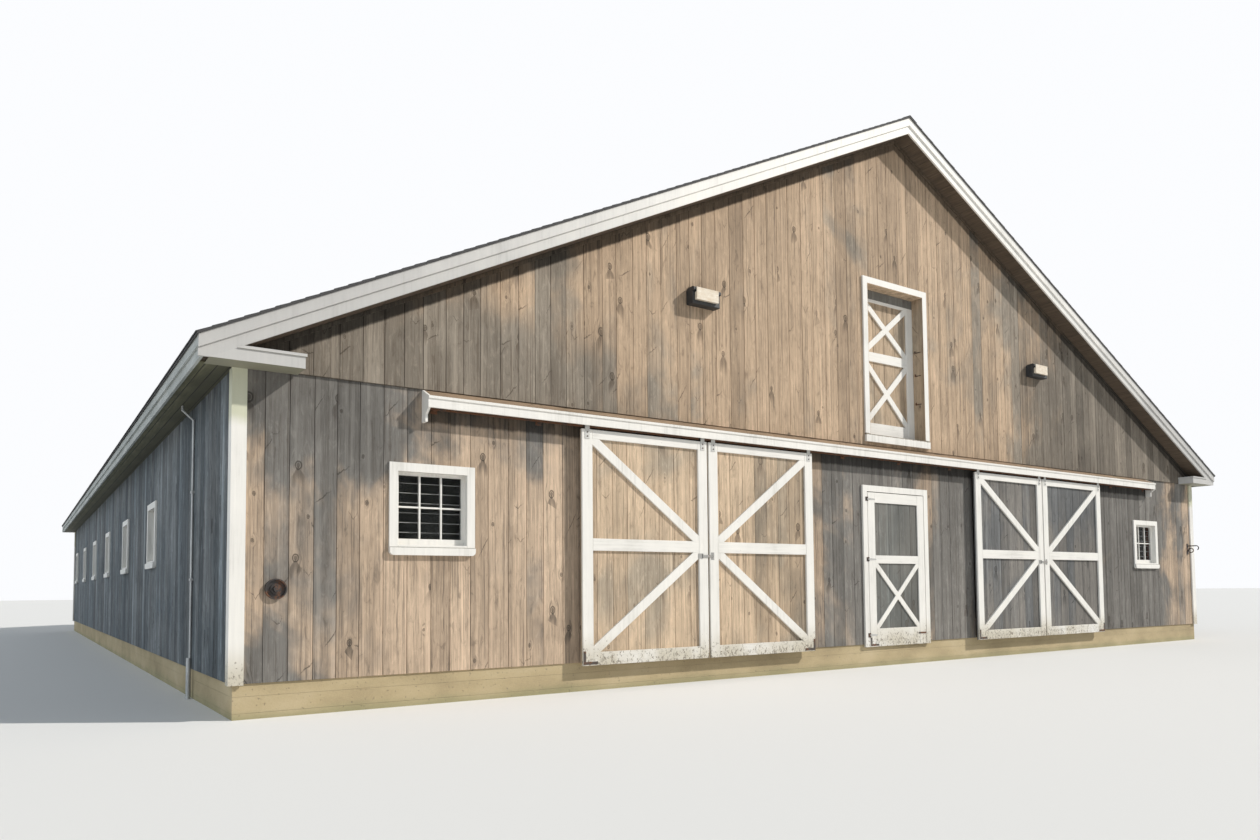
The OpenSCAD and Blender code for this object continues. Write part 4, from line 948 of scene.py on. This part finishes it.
loft_face, lining_out, lining_in = 12.628, -12.8525, -12.6535
outer, inner, loft_foot, frame_head = (-0.7575, 0.6075), (-0.5475, 0.3975), 3.335, 5.416
low_panel, high_panel = (3.555, 4.478), (4.618, 5.371)
loft_planks = boarding("loft_door_planks", board_edges(-0.754, 0.604, chance), 3.338, 5.610, chance,
                       0.004, 0.0295, 0.0)
rails = ((loft_foot, low_panel[0]), (low_panel[1], high_panel[0]), (high_panel[1], frame_head))
loft_frame = framed(outer, inner, loft_foot, frame_head, rails, 0.025)
for panel in (low_panel, high_panel):
    loft_frame += crossed(*inner, *panel, 0.088, 0.0235)
loft_frame = fixed_up("loft_door_framing", loft_frame)
stood(loft_planks, loft_face)
stood(loft_frame, loft_face)
header = sawn("loft_header", (outer[0], -loft_face - 0.025, 5.417), (outer[1], -loft_face, 5.612))
marked(header, chance)
reveal = [marked(sawn("reveal", (x0, lining_out, z0), (x1, lining_in, 5.5525), 0.001), chance)
          for x0, z0, x1 in ((0.5415, 3.3355, 0.5475), (-0.6975, 3.3355, -0.6915), (-0.6912, 5.5465, 0.5412))]
catches = []
for height in (4.72, 4.36, 3.92):
    catches.append(sawn("catch", (0.533, -12.80, height - 0.006), (0.5415, -12.70, height + 0.006), 0.001))
    catches.append(sawn("catch", (0.518, -12.715, height - 0.005), (0.5325, -12.700, height + 0.030), 0.001))
fitted(loft_planks, door_planks)
fitted(loft_frame, paint("loft_paint", wear=0.02))
fitted(header, small_planks_painted_shade)
fitted(fixed_up("loft_reveal", reveal), door_planks)
fitted(fixed_up("loft_catches", catches), corner_rust)
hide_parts("loft_door")

# Wall lights over the double doors: bronze painted housings screwed to the gable. A ribbed lens of
# pale pressed glass closes the open front of each, its upper ribs lying on the visor.

housing = Finish("lamp_housing")
chalk = housing.noise((22, 22, 14), 5, 0.65)
facing_up = housing.node("ShaderNodeNewGeometry", out="Normal").axis("Z")
dusty = (facing_up + chalk * 0.2).step(0.72, 0.95) * 0.55
bronze = chalk.shades((0.35, (0.016, 0.017, 0.018)), (0.70, (0.045, 0.045, 0.046)))
dressed(housing.give(Base_Color=housing.mixed(dusty, bronze, (0.30, 0.25, 0.20)),
                     Roughness=0.42 + chalk * 0.3, Normal=housing.relief(chalk, 0.0010)), cad["wall_lights"])

milky = Finish("lamp_lens")
lens_cloud = milky.noise((10, 10, 26), 4)
lens_glass = milky.give(Base_Color=lens_cloud.shades((0.3, (0.78, 0.66, 0.50)), (0.7, (0.95, 0.87, 0.75))),
                        Roughness=0.16 + lens_cloud * 0.18, Coat_Weight=0.4,
                        Normal=milky.relief(lens_cloud, 0.0012, 0.4))
lens_front, on_visor, in_housing, rib_high = -12.996, -12.9835, -12.9535, 0.0134
for name, middle, base in (("lamp_lens_left", -3.783, 4.640), ("lamp_lens_right", 3.517, 4.685)):
    left, right = middle - 0.180, middle + 0.168
    ribs = []
    for number in range(11):
        low = base + 0.046 + number * 0.0138
        behind = on_visor if low + rib_high > base + 0.1545 else in_housing
        ribs.append(sawn("rib", (left, lens_front, low), (right, behind, low + rib_high), 0.0028))
    fitted(fixed_up(name, ribs), lens_glass)

# Iron fittings and the wiring conduit: a round flange low on the left, a long armed hook at the right
# corner, hinge halves on the small door's casing, and a zinc coated pipe up the side wall.

dressed(rusted("fitting_iron", (0.060, 0.055, 0.053), 0.50), cad["iron_fittings"])
zinc = Finish("zinc_pipe")
spangle = zinc.noise((55, 55, 18), 4)
bloom = zinc.noise((9, 9, 2.2), 4)
zinc_tone = (spangle * 0.4 + bloom * 0.6).shades((0.30, (0.30, 0.31, 0.31)), (0.70, (0.60, 0.61, 0.60)))
dressed(zinc.give(Base_Color=zinc_tone, Roughness=0.38 + bloom * 0.3, Metallic=0.55,
                  Normal=zinc.relief(spangle, 0.0008)), cad["conduit"])
